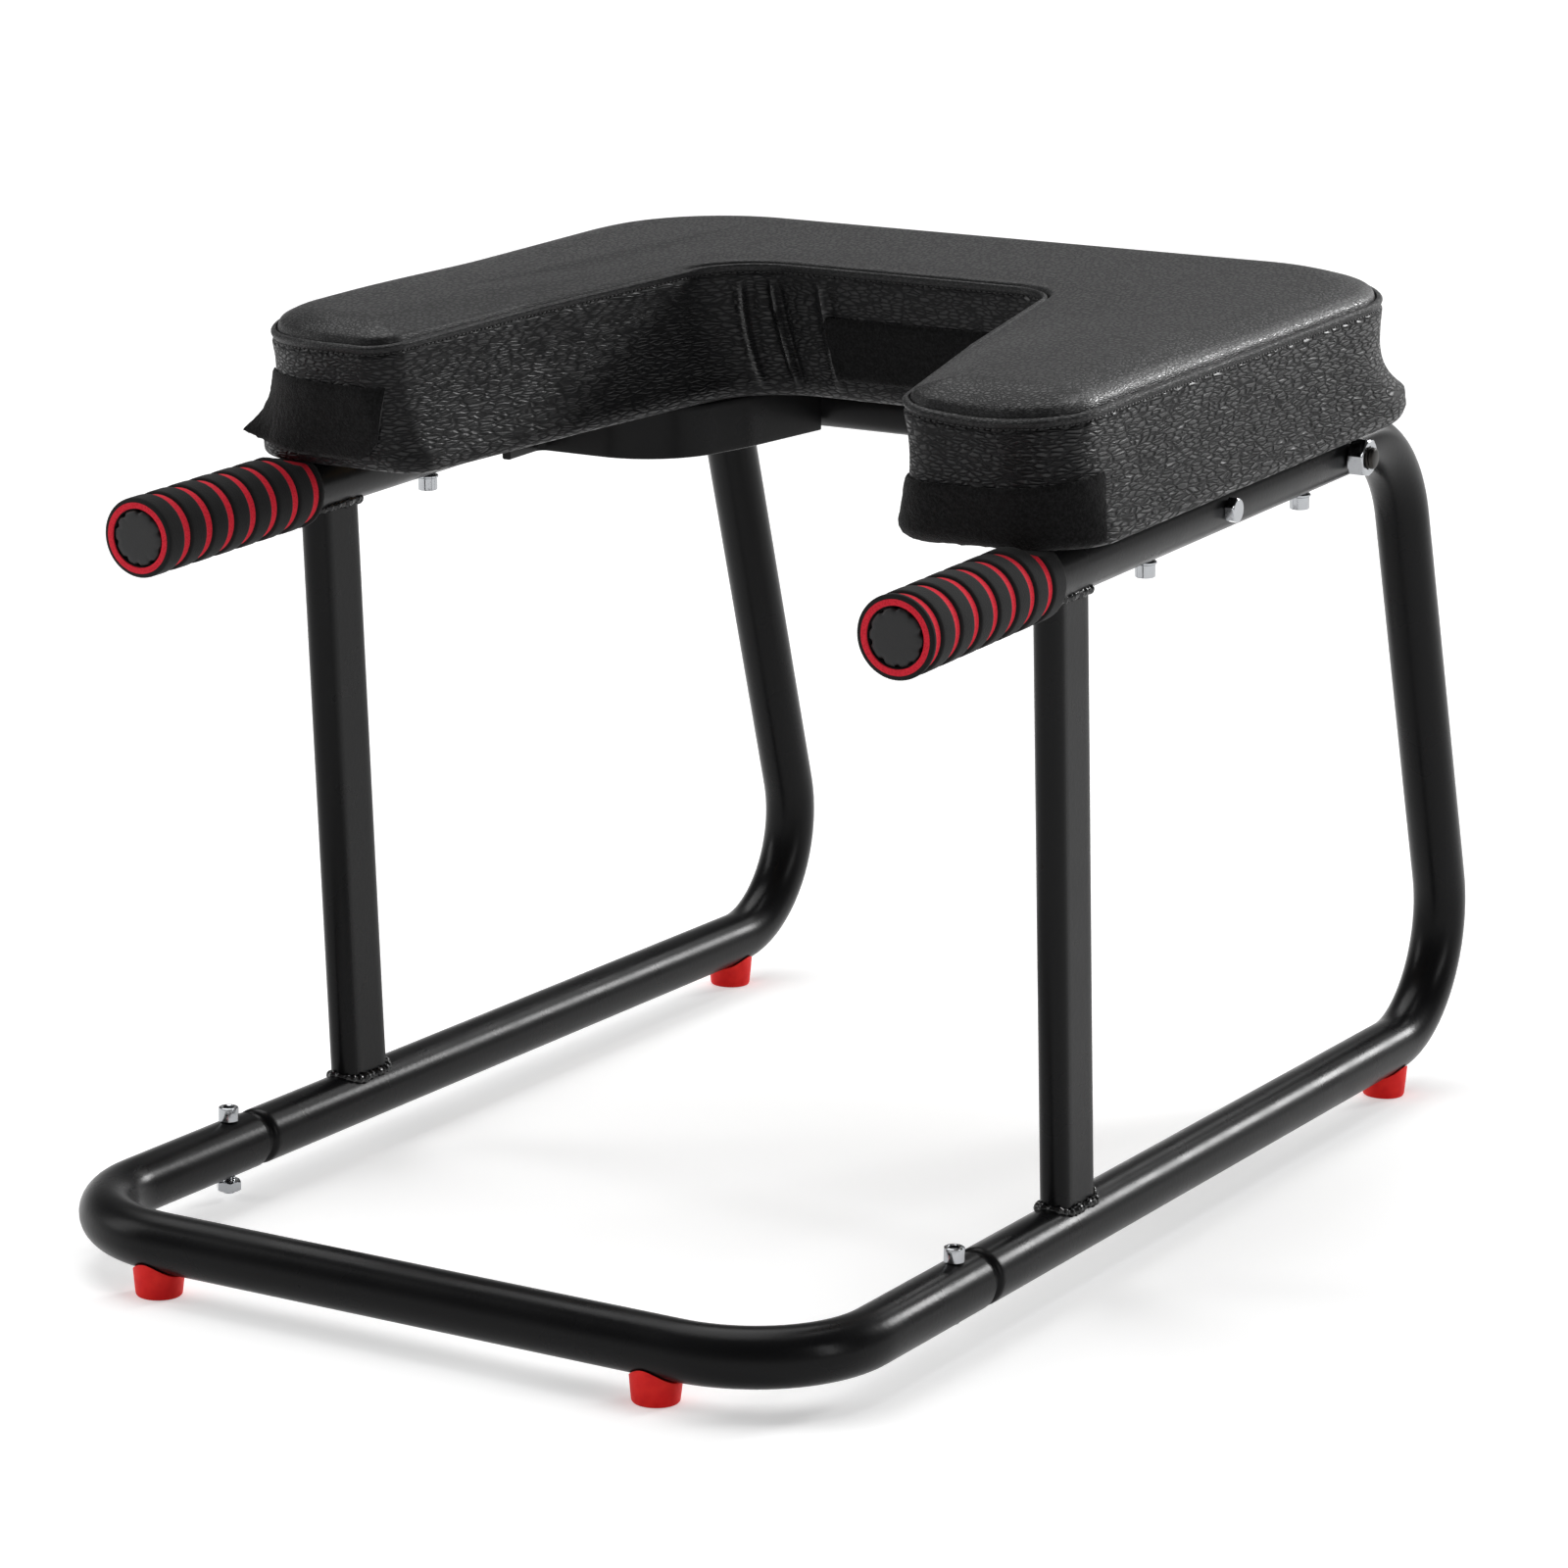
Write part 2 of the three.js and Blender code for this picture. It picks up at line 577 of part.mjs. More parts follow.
function seatRing(share, inset, height, riseShare = 0) {
  const corners = seatCorners(share);
  const n = corners.length;
  const edges = corners.map(([x, t], i) => {
    const [x2, t2] = corners[(i + 1) % n];
    const d = new THREE.Vector2(x2 - x, t2 - t).normalize();
    const inward = new THREE.Vector2(d.y, -d.x);
    return { d, p: new THREE.Vector2(x, t).addScaledVector(inward, inset) };
  });
  const cut = corners.map((_, i) => {
    const a = edges[(i + n - 1) % n];
    const b = edges[i];
    const k = a.d.cross(b.d);
    const u = b.p.clone().sub(a.p).cross(b.d) / k;
    return a.p.clone().addScaledVector(a.d, u);
  });
  const arcs = corners.map(([, , r, turn], i) => {
    const from = edges[(i + n - 1) % n].d;
    const to = edges[i].d;
    const bend = Math.acos(THREE.MathUtils.clamp(from.dot(to), -1, 1));
    const radius = Math.max(r - turn * inset, minCornerR);
    const reach = radius * Math.tan(bend / 2);
    const start = cut[i].clone().addScaledVector(from, -reach);
    const inward = new THREE.Vector2(from.y, -from.x).multiplyScalar(turn);
    const centre = start.clone().addScaledVector(inward, radius);
    return Array.from({ length: arcSteps[i] + 1 }, (_, k) => {
      const a = bend * k / arcSteps[i];
      return centre.clone().addScaledVector(inward, -radius * Math.cos(a))
        .addScaledVector(from, radius * Math.sin(a));
    });
  });
  const points = [];
  arcs.forEach((arc, i) => {
    points.push(...arc);
    const end = arc[arc.length - 1];
    const next = arcs[(i + 1) % n][0];
    for (const u of sideShares[i]) points.push(end.clone().lerp(next, u));
  });
  return points.map((p, i) => V(p.x, p.y, height + (riseShare ? riseShare * seamRise(i) : 0)));
}

// The seam round the head opening lies higher than the outer seam, and rises to the back
let seamRises = null;
function seamRise(i) {
  if (!seamRises) {
    const ring = seatRing(1, 0, 0, 0);
    const from = arcStart[2];
    const to = arcStart[7] + arcSteps[7];
    const flat = ring.map((p, k) => {
      if (k < from || k > to) return 0;
      const u = (p.y - seatTop.frontT) / (seatTop.notchT - seatTop.frontT);
      return THREE.MathUtils.lerp(mouthRise, notchRise, u) * Math.min((k - from) / arcSteps[2],
        (to - k) / arcSteps[7], 1);
    });
    seamRises = flat;
  }
  return seamRises[i];
}

// Side wall: how far the wall has moved from the bottom outline to the seam outline, and how
// far it is drawn in, at a height given as a share of the seam height
const wallShares = [0, 0.05, 0.15, 0.32, 0.62, 0.92];
const leanShares = [0, 0, 0.03, 0.7, 1, 1];
function wallRing(heightShare, inset) {
  let i = 0;
  while (i < wallShares.length - 2 && heightShare > wallShares[i + 1]) i++;
  const u = (heightShare - wallShares[i]) / (wallShares[i + 1] - wallShares[i]);
  const draw = (h) => wallDrawIn * Math.sin(Math.PI * h);
  const lean = THREE.MathUtils.lerp(leanShares[i], leanShares[i + 1], u);
  const pulled = THREE.MathUtils.lerp(draw(wallShares[i]), draw(wallShares[i + 1]), u);
  return seatRing(lean, inset + pulled, seatBase + heightShare * seamHeight, heightShare);
}
const seatBase = railTop;     // underside of the seat rests on the rails

// Joins rings of equal length into one closed solid. Rings run from the first to the last, and
// back to the first if looped, with no band after the rings in gaps. Caps close single rings.
function loft(rings, { looped = false, gaps = [], caps = [] }) {
  const n = rings[0].length;
  const position = rings.flatMap((r) => r.flatMap((p) => [p.x, p.y, p.z]));
  const index = [];
  for (let k = 0; k < rings.length - (looped ? 0 : 1); k++) {
    if (gaps.includes(k)) continue;
    const next = (k + 1) % rings.length;
    const a = k * n;
    const b = next * n;
    // Rising and falling bands share one diagonal, so that nested walls stay parallel
    const falling = rings[next][0].z < rings[k][0].z;
    for (let i = 0; i < n; i++) {
      const j = (i + 1) % n;
      if (falling) index.push(a + i, b + i, b + j, a + i, b + j, a + j);
      else index.push(a + i, b + i, a + j, a + j, b + i, b + j);
    }
  }
  for (const [k, up] of caps) {
    const flat = rings[k].map((p) => new THREE.Vector2(p.x, p.y));
    for (const [p, q, r] of THREE.ShapeUtils.triangulateShape(flat, [])) {
      const area = flat[q].clone().sub(flat[p]).cross(flat[r].clone().sub(flat[p]));
      const same = (area > 0) === up;
      index.push(k * n + p, k * n + (same ? q : r), k * n + (same ? r : q));
    }
  }
  const g = new THREE.BufferGeometry();
  g.setAttribute('position', new THREE.Float32BufferAttribute(position, 3));
  g.setIndex(index);
  return toSolid(g);
}

// Crown of the top panel: insets as shares of the shoulder, rises as shares of the crown
const shoulderShares = [[0.08, 0.02], [0.25, 0.42], [0.52, 0.78], [1, 1]];
const seam = seatBase + seamHeight;
const dome = (deeper) => shoulderShares.map(([inset, rise]) =>
  seatRing(1, inset * crownShoulder + deeper, seam + rise * crownRise - deeper, 1 - rise));

// Cover: hem under the board, walls, piping at the seam, crowned top panel
const wallLevels = wallShares.slice(2);
const hemTop = seatBase + coverThickness;
const coverOuter = [
  seatRing(0, hemWidth, seatBase),
  seatRing(0, bottomEdge, seatBase),
  wallRing(wallShares[1], bottomEdge / 4),
  ...wallLevels.map((h) => wallRing(h, 0)),
  seatRing(1, -pipingOut, seam - coverThickness, 1),
  seatRing(1, 0, seam, 1),
  ...dome(0),
];
const coverInner = [
  ...dome(coverThickness).slice(1).reverse(),
  ...wallLevels.slice().reverse().map((h) => wallRing(h, coverThickness)),
  seatRing(0, bottomEdge + coverThickness, hemTop),
  seatRing(0, hemWidth, hemTop),
];
const crownRing = coverOuter.length - 1;
let cover = loft([...coverOuter, ...coverInner],
  { looped: true, gaps: [crownRing], caps: [[crownRing, true], [crownRing + 1, false]] });

// Board under the foam, with holes and recesses for the tee nuts
const boardLow = hemTop + fit;
const boardTop = boardLow + boardThickness;
const boardShare = (boardTop - seatBase) / seamHeight;
const leanAt = (h) => {
  const i = Math.max(0, wallShares.findLastIndex((w) => w <= h));
  const u = (h - wallShares[i]) / (wallShares[i + 1] - wallShares[i]);
  return THREE.MathUtils.lerp(leanShares[i], leanShares[i + 1], u);
};
const mostLean = leanAt(boardShare) * Math.max(sideLean, backLean, frontLean, notchBackLean,
  notchSideLean, mouthLean, notchBendLean);
const boardInset = Math.max(bottomEdge, mostLean) + coverThickness + boardGap;
const boardEdge = (n) => seatRing(0, boardInset, n);
let board = loft([boardEdge(boardLow), boardEdge(boardTop)], { caps: [[0, false], [1, true]] });

const foamLow = boardTop + fit;
const foamShare = (foamLow - seatBase) / seamHeight;
const foamRings = [
  ...[foamShare, ...wallShares.filter((h) => h > foamShare)]
    .map((h) => wallRing(h, coverThickness + foamGap)),
  ...dome(coverThickness + foamGap).slice(1),
];
const foam = loft(foamRings, { caps: [[0, false], [foamRings.length - 1, true]] });

// Seat bolts and tee nuts
const seatBoltTop = boardTop - teeFlangeThickness;
const boltHeadTop = -railTop;
seatBoltTs.forEach((t, i) => {
  for (const [side, s] of [['left', -1], ['right', 1]]) {
    const x = s * railX;
    const place = `${i === 0 ? 'front' : 'rear'}_${side}`;
    const down = (a, b, r) => hole(V(x, t, a), V(x, t, b), r);
    board = board.subtract(down(boardLow - overrun, boardTop + overrun, teeBarrelR))
      .subtract(down(boardTop - teeFlangeThickness - fit, boardTop + overrun, teeFlangeR));
    cover = cover.subtract(down(seatBase - overrun, hemTop + fit / 2, seatBoltR));
    const bolt = turned([[0, boltHeadTop - seatHeadHeight], [seatHeadR, boltHeadTop - seatHeadHeight],
      [seatHeadR, boltHeadTop], [seatBoltR, boltHeadTop], [seatBoltR, seatBoltTop], [0, seatBoltTop]],
    V(x, t, 0), V(x, t, 1));
    add(deck, `${place}_seat_bolt`, bolt.subtract(
      rod(V(x, t, boltHeadTop - seatHeadHeight - overrun), V(x, t, boltHeadTop - seatHeadHeight / 2),
        seatHeadR / 2, 6)), chrome);
    const bore = seatBoltR + fit;
    const tee = turned([[bore, boardTop - teeBarrelLength], [teeBarrelR, boardTop - teeBarrelLength],
      [teeBarrelR, boardTop - teeFlangeThickness], [teeFlangeR, boardTop - teeFlangeThickness],
      [teeFlangeR, boardTop], [bore, boardTop], [bore, boardTop - teeBarrelLength]],
    V(x, t, 0), V(x, t, 1));
    add(deck, `${place}_tee_nut`, tee, zinc);
  }
});
add(deck, 'seat_board', board, plywood);
add(deck, 'seat_foam', foam, foamYellow);
add(deck, 'seat_cover', cover, leather);

// Loop patches: slabs that lie on the cover's side wall, over whole columns of its rings
function patch(fromColumn, toColumn, { low, high }) {
  const shares = [low / seamHeight, ...wallShares.filter((h) => h > low / seamHeight
    && h < high / seamHeight), high / seamHeight];
  const sheet = (out) => shares.map((h) => wallRing(h, -out).slice(fromColumn, toColumn + 1));
  const back = sheet(fit);
  const front = sheet(fit + patchThickness);
  const columns = back[0].length;
  const rows = shares.length;
  const position = [...back, ...front].flatMap((r) => r.flatMap((p) => [p.x, p.y, p.z]));
  const at = (layer, row, column) => (layer * rows + row) * columns + column;
  const index = [];
  const quad = (a, b, c, d) => index.push(a, b, c, a, c, d);
  for (let r = 0; r < rows - 1; r++) {
    for (let c = 0; c < columns - 1; c++) {
      quad(at(1, r, c), at(1, r + 1, c), at(1, r + 1, c + 1), at(1, r, c + 1));
      quad(at(0, r, c), at(0, r, c + 1), at(0, r + 1, c + 1), at(0, r + 1, c));
    }
    quad(at(0, r, 0), at(0, r + 1, 0), at(1, r + 1, 0), at(1, r, 0));
    const e = columns - 1;
    quad(at(1, r, e), at(1, r + 1, e), at(0, r + 1, e), at(0, r, e));
  }
  const t = rows - 1;
  for (let c = 0; c < columns - 1; c++) {
    quad(at(1, 0, c), at(1, 0, c + 1), at(0, 0, c + 1), at(0, 0, c));
    quad(at(0, t, c), at(0, t, c + 1), at(1, t, c + 1), at(1, t, c));
  }
  const g = new THREE.BufferGeometry();
  g.setAttribute('position', new THREE.Float32BufferAttribute(position, 3));
  g.setIndex(index);
  const s = toSolid(g);
  return s.volume() < 0 ? toSolid(flipped(g)) : s;
}
const arcEnd = arcStart.map((start, i) => start + arcSteps[i]);
add(deck, 'right_loop_patch', patch(arcStart[1], arcEnd[2], rightPatch), loopPile);
add(deck, 'left_loop_patch', patch(arcStart[7] + arcSteps[7] / 2, arcEnd[8], leftPatch), loopPile);
add(deck, 'rear_loop_patch', patch(arcEnd[4], arcStart[5], rearPatch), loopPile);

export default model;
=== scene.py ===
import bpy
import numpy as np
from mathutils import Matrix, Vector


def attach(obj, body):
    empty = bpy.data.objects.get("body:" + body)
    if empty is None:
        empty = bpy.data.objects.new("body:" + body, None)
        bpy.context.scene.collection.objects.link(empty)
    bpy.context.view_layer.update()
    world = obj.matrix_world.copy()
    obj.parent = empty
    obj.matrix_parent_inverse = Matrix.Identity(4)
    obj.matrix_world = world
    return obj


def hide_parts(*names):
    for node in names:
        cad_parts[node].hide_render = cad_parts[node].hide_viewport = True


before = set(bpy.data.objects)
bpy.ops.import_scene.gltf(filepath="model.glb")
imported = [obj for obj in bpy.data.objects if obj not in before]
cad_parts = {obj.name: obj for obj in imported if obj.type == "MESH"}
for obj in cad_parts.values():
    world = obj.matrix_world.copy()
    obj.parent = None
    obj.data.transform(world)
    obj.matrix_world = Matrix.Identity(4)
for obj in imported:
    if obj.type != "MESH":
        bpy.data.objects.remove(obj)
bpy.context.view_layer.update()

# Side frames
# One-inch round steel tube, bent cold into top rail, rear leg and floor rail, one tube a side.
# The floor rail's front end is swaged down to a neck that slides into the front floor tube.
# Powder-coated satin black after welding, so the coat runs over welds and bends alike.
rail_x, floor_z, deck_z = 181.1, 22.7, 315.6
deck_rise, deck_run = 10.97, 250
upright = [0, 0, 1]
deck_slope = np.arctan2(deck_rise, deck_run)
tube_r, tube_wall, tube_sides = 12.5, 1.5, 56
fit = 0.3
handle_end_t, joint_y, joint_neck, spigot = -244.7, -170, 4.2, 42
neck_r = 10.62
rear_top_y, rear_bottom_y, rear_top_bend, rear_bottom_bend = 226.75, 331.2, 62, 55


def on_deck(points):
    """Points (x, t, n) measured on the sloping deck, turned about x by its slope and lifted to it."""
    x, t, n = np.moveaxis(np.asarray(points, float), -1, 0)
    c, s = np.cos(deck_slope), np.sin(deck_slope)
    return np.stack([x, t * c - n * s, deck_z + t * s + n * c], axis=-1)


def bent_line(corners, radii, spacing=6.0, bend_steps=22):
    """Points along a line whose corners are arcs of the given radii, and the line's direction at each.

    On an arc a point is its centre plus the radius times (out cos a + on sin a)."""
    corners = np.asarray(corners, float)
    runs = np.diff(corners, axis=0)
    way = runs / np.linalg.norm(runs, axis=1)[:, None]
    at, along, here = [], [], corners[0]
    for i, radius in enumerate(list(radii) + [None]):
        if radius is None:
            stop, arc = corners[-1], None
        else:
            turn = np.arccos(np.clip(way[i] @ way[i + 1], -1, 1))
            reach = radius * np.tan(turn / 2)
            stop = corners[i + 1] - way[i] * reach
            out = way[i] * np.cos(turn) - way[i + 1]
            out /= np.linalg.norm(out)
            a = np.linspace(0, turn, bend_steps + 1)[1:-1, None]
            arc = stop - out * radius + radius * (out * np.cos(a) + way[i] * np.sin(a))
        steps = max(2, int(np.linalg.norm(stop - here) / spacing))
        at.append(here + (stop - here) * np.linspace(0, 1, steps + 1)[:, None])
        along.append(np.repeat(way[i][None], steps + 1, axis=0))
        if arc is not None:
            at.append(arc)
            along.append(way[i] * np.cos(a) - out * np.sin(a))
            here = corners[i + 1] + way[i + 1] * reach
    return np.concatenate(at), np.concatenate(along)


def carried(section, at, along, side, size=1.0):
    """Section points (a, b) carried along a line: line + size (a side + b (along x side))."""
    side = np.broadcast_to(np.asarray(side, float), at.shape)
    up = np.cross(along, side)
    size = np.broadcast_to(size, len(at))[:, None, None]
    reach = section[:, 0][:, None] * side[:, None] + section[:, 1][:, None] * up[:, None]
    return at[:, None] + size * reach


def angles(sides):
    """So many equal steps of a full turn."""
    return np.arange(sides) / sides * 2 * np.pi


def circle(sides):
    """(cos a, sin a) at equal steps of a."""
    a = angles(sides)
    return np.stack([np.cos(a), np.sin(a)], axis=-1)


def skin(name, rows, looks, caps=(True, True), closed=False, row_look=None, sharp=40):
    """Mesh in metres from rows of points in millimetres, each row a closed ring.

    Point j of row i joins j + 1 and row i + 1. caps close the first and last ring, or closed joins them."""
    rows = np.asarray(rows, float)
    m, n = rows.shape[:2]
    index = np.arange(m * n).reshape(m, n)
    low, high = (index, np.roll(index, -1, axis=0)) if closed else (index[:-1], index[1:])
    quads = np.stack([low, np.roll(low, -1, axis=1), np.roll(high, -1, axis=1), high], axis=-1)
    faces = quads.reshape(-1, 4).tolist()
    row_look = np.zeros(len(low), int) if row_look is None else np.asarray(row_look)[:len(low)]
    look = np.repeat(row_look, n).tolist()
    if caps[0] and not closed:
        faces.append(index[0][::-1].tolist())
        look.append(look[0])
    if caps[1] and not closed:
        faces.append(index[-1].tolist())
        look.append(look[-2 if caps[0] else -1])
    mesh = bpy.data.meshes.new(name)
    mesh.from_pydata((rows.reshape(-1, 3) * 0.001).tolist(), [], faces)
    for finish in looks:
        mesh.materials.append(finish)
    mesh.polygons.foreach_set("material_index", look)
    mesh.polygons.foreach_set("use_smooth", [True] * len(faces))
    mesh.set_sharp_from_angle(angle=np.radians(sharp))
    mesh.update()
    piece = bpy.data.objects.new(name, mesh)
    bpy.context.scene.collection.objects.link(piece)
    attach(piece, "root")
    return piece


def linear(colour):
    """sRGB hex colour to linear red, green, blue and alpha."""
    c = np.array([int(colour[i:i + 2], 16) for i in (1, 3, 5)]) / 255
    return (*np.where(c <= 0.04045, c / 12.92, ((c + 0.055) / 1.055) ** 2.4), 1.0)


def put(finish, kind, inputs=None, **settings):
    """Adds a node, sets it up, and gives each named input a value or another node's output."""
    made = finish.node_tree.nodes.new(kind)
    for key, value in settings.items():
        setattr(made, key, value)
    for key, value in (inputs or {}).items():
        if isinstance(value, bpy.types.NodeSocket):
            finish.node_tree.links.new(value, made.inputs[key])
        else:
            made.inputs[key].default_value = value
    return made


def wire(finish, source, target):
    """Links an output to an input."""
    finish.node_tree.links.new(source, target)


def new_finish(name, values=None):
    """A node material whose shader has those values, then its shader and its Object coordinates."""
    finish = bpy.data.materials.new(name)
    finish.use_nodes = True
    shader = finish.node_tree.nodes["Principled BSDF"]
    for key, value in (values or {}).items():
        shader.inputs[key].default_value = value
    return finish, shader, put(finish, "ShaderNodeTexCoord").outputs["Object"]


def noise(finish, where, size, detail, rough=0.5):
    """Noise from 0 to 1 whose waves are of that size in metres."""
    return put(finish, "ShaderNodeTexNoise",
               {"Vector": where, "Scale": 1 / size, "Detail": detail, "Roughness": rough}).outputs["Fac"]


def cells(finish, where, size):
    """Distance from the middle of cells of that size in metres."""
    return put(finish, "ShaderNodeTexVoronoi", {"Vector": where, "Scale": 1 / size}).outputs["Distance"]


def relief(finish, shader, height, strength, depth):
    """Gives the shader bumps of that height, 0 to 1, over a depth in metres."""
    bump = put(finish, "ShaderNodeBump", {"Height": height, "Strength": strength, "Distance": depth})
    wire(finish, bump.outputs["Normal"], shader.inputs["Normal"])


def shades(finish, shader, share, low, high, low_at=0.0, high_at=1.0):
    """Gives the shader a colour from low to high, as the share goes from low_at to high_at."""
    ramp = put(finish, "ShaderNodeValToRGB", {"Fac": share})
    for element, colour, at in zip(ramp.color_ramp.elements, (low, high), (low_at, high_at)):
        element.position, element.color = at, linear(colour)
    wire(finish, ramp.outputs["Color"], shader.inputs["Base Color"])


# Satin powder coat over steel: black, with the faint orange peel of fused powder, in waves of about
# 2 mm, and gloss that varies over 30 mm. The eye gets soft, wide streaks along the tubes.
powder_coat, shader, where = new_finish("powder_coated_steel", {
    "Base Color": linear("#111112"), "IOR": 1.5, "Specular IOR Level": 0.12})
gloss = put(powder_coat, "ShaderNodeMapRange", {
    "Value": noise(powder_coat, where, 0.03, 3.0),
    "From Min": 0.3, "From Max": 0.7, "To Min": 0.25, "To Max": 0.33})
wire(powder_coat, gloss.outputs["Result"], shader.inputs["Roughness"])
relief(powder_coat, shader, noise(powder_coat, where, 0.0022, 2.0), 0.35, 0.00012)

# The swage: from its shoulder, where the full tube ends, down to the neck and along the spigot
shoulder_y = joint_y + joint_neck
swage_y = shoulder_y + np.array([4.5, 3, 2, 1.1, 0.4, 0, -0.5, -spigot - joint_neck])
swage_r = np.array([tube_r, tube_r, tube_r - 0.15, tube_r - 0.6, tube_r - 1.3,
                    neck_r + 0.1, neck_r, neck_r])
swage_rows = len(swage_y)
for hand, s in (("left", -1), ("right", 1)):
    handle_end = on_deck([s * rail_x, handle_end_t, 0])
    line, along = bent_line([handle_end,
                             [s * rail_x, rear_top_y, deck_z + rear_top_y * deck_rise / deck_run],
                             [s * rail_x, rear_bottom_y, floor_z],
                             [s * rail_x, shoulder_y + 6, floor_z]],
                            [rear_top_bend, rear_bottom_bend])
    swage = np.stack([np.full(swage_rows, s * rail_x), swage_y, np.full(swage_rows, floor_z)], axis=-1)
    line = np.concatenate([line, swage])
    along = np.concatenate([along, np.repeat(along[-1:], swage_rows, axis=0)])
    size = np.concatenate([np.full(len(line) - swage_rows, tube_r), swage_r])
    outside = carried(circle(tube_sides), line, along, [1, 0, 0], size)
    inside = carried(circle(tube_sides), line, along, [1, 0, 0], size - tube_wall)[::-1]
    piece = skin(f"{hand}_side_frame_tube", np.concatenate([outside, inside]), [powder_coat], closed=True)
    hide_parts(f"{hand}_side_frame")

# Front legs
# Flat-oval steel tube, 14 by 33 mm, coped at both ends to the round rails and welded all round.
# The weld beads were laid by hand, so they are lumpy, and the powder coat lies over them.
leg_width, leg_depth, leg_wall = 14, 33, 1.5
leg_top_y, leg_foot_y = -107.75, -82.45
bead_r = 2.1


def flat_oval(width, depth, around=40):
    """Stadium: a circle of the width, its halves moved apart along the depth, and its outward way."""
    a = (np.arange(around) + 0.5) / around * 2 * np.pi
    out = np.stack([np.cos(a), np.sin(a)], axis=-1)
    shift = np.sign(out[:, 1])[:, None] * [0, (depth - width) / 2]
    ring = out * width / 2 + shift
    flat = np.linspace(0, 1, 9)[1:-1, None]
    half = around // 2
    ring = np.concatenate([ring[:half], ring[half - 1] + (ring[half] - ring[half - 1]) * flat,
                           ring[half:], ring[-1] + (ring[0] - ring[-1]) * flat])
    out = np.concatenate([out[:half], np.repeat([[-1.0, 0.0]], len(flat), axis=0),
                          out[half:], np.repeat([[1.0, 0.0]], len(flat), axis=0)])
    return ring, out


# The coat runs thick and glossy over the beads, so they catch small sharp lights
coated_weld, shader, where = new_finish("powder_coated_weld_bead", {
    "Base Color": linear("#101011"), "Roughness": 0.2, "Specular IOR Level": 0.4, "IOR": 1.5})
relief(coated_weld, shader, noise(coated_weld, where, 0.0018, 2.0), 0.6, 0.0004)


def slow_waves(random, turn, height, lowest, past_highest):
    """Sum over k of a random height times sin(k turn + a random start)."""
    return sum(random.uniform(-height, height) * np.sin(k * turn + random.uniform(0, 6.3))
               for k in range(lowest, past_highest))


def weld_bead(name, seam, outward, seed, ripple=3.1):
    """A lumpy round bead along a closed seam, radius = bead_r (1 + 0.16 sin of the ripple + slow waves).

    The ripple is the length of one drop of weld metal, and the bead drifts off the seam slowly."""
    way = np.roll(seam, -1, axis=0) - np.roll(seam, 1, axis=0)
    way /= np.linalg.norm(way, axis=1)[:, None]
    far = np.concatenate([[0], np.cumsum(np.linalg.norm(np.diff(seam, axis=0), axis=1))])
    whole = far[-1] + np.linalg.norm(seam[0] - seam[-1])
    turn = far / whole * 2 * np.pi
    random = np.random.default_rng(seed)
    slow = slow_waves(random, turn, 0.11, 3, 12)
    size = bead_r * (1 + 0.16 * np.sin(round(whole / ripple) * turn) + slow)
    drift = 0.5 * slow_waves(random, turn, 0.5, 2, 8)
    middle = seam + outward * (0.2 + drift[:, None])
    return skin(name, carried(circle(12), middle, way, outward, size), [coated_weld], closed=True)


def finer(ring, times):
    """A closed ring with points added evenly between its own."""
    share = np.linspace(0, 1, times, endpoint=False)[:, None]
    return (ring[:, None] + (np.roll(ring, -1, axis=0) - ring)[:, None] * share).reshape(-1, ring.shape[-1])


# Both ends are coped: each point runs along the leg's axis until it meets the round rail
rail_normal = np.array([0, -np.sin(deck_slope), np.cos(deck_slope)])
tube_ring = flat_oval(leg_width, leg_depth)
bore_ring = flat_oval(leg_width - 2 * leg_wall, leg_depth - 2 * leg_wall)
weld_ring = [finer(part, 3) for part in tube_ring]
for hand, s in (("left", -1), ("right", 1)):
    top = np.array([s * rail_x, leg_top_y, deck_z + leg_top_y * deck_rise / deck_run])
    foot = np.array([s * rail_x, leg_foot_y, floor_z])
    axis = (top - foot) / np.linalg.norm(top - foot)
    across = np.cross(axis, [1, 0, 0])
    ends = {}
    for key, (ring, out) in {"tube": tube_ring, "bore": bore_ring, "weld": weld_ring}.items():
        spread = foot + ring[:, :1] * [1, 0, 0] + ring[:, 1:] * across
        rise = np.sqrt(np.maximum(tube_r ** 2 - ring[:, 0] ** 2, 0))
        low = (rise - (spread[:, 2] - floor_z)) / axis[2]
        height = (spread - [0, 0, deck_z]) @ rail_normal
        high = (-rise - height) / (axis @ rail_normal)
        ends[key] = spread + low[:, None] * axis, spread + high[:, None] * axis, out
    share = np.linspace(0, 1, 30)[:, None, None]
    walls = [low + (high - low) * share for low, high, _ in (ends["tube"], ends["bore"])]
    piece = skin(f"{hand}_front_leg_tube", np.concatenate([walls[0], walls[1][::-1]]), [powder_coat],
                 closed=True)
    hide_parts(f"{hand}_front_leg")
    low, high, out = ends["weld"]
    outward = out[:, :1] * [1, 0, 0] + out[:, 1:] * across
    for place, seam, seed in (("foot", low, 3 + s), ("top", high, 13 + s)):
        bead = weld_bead(f"{hand}_leg_{place}_weld", seam, outward, seed)

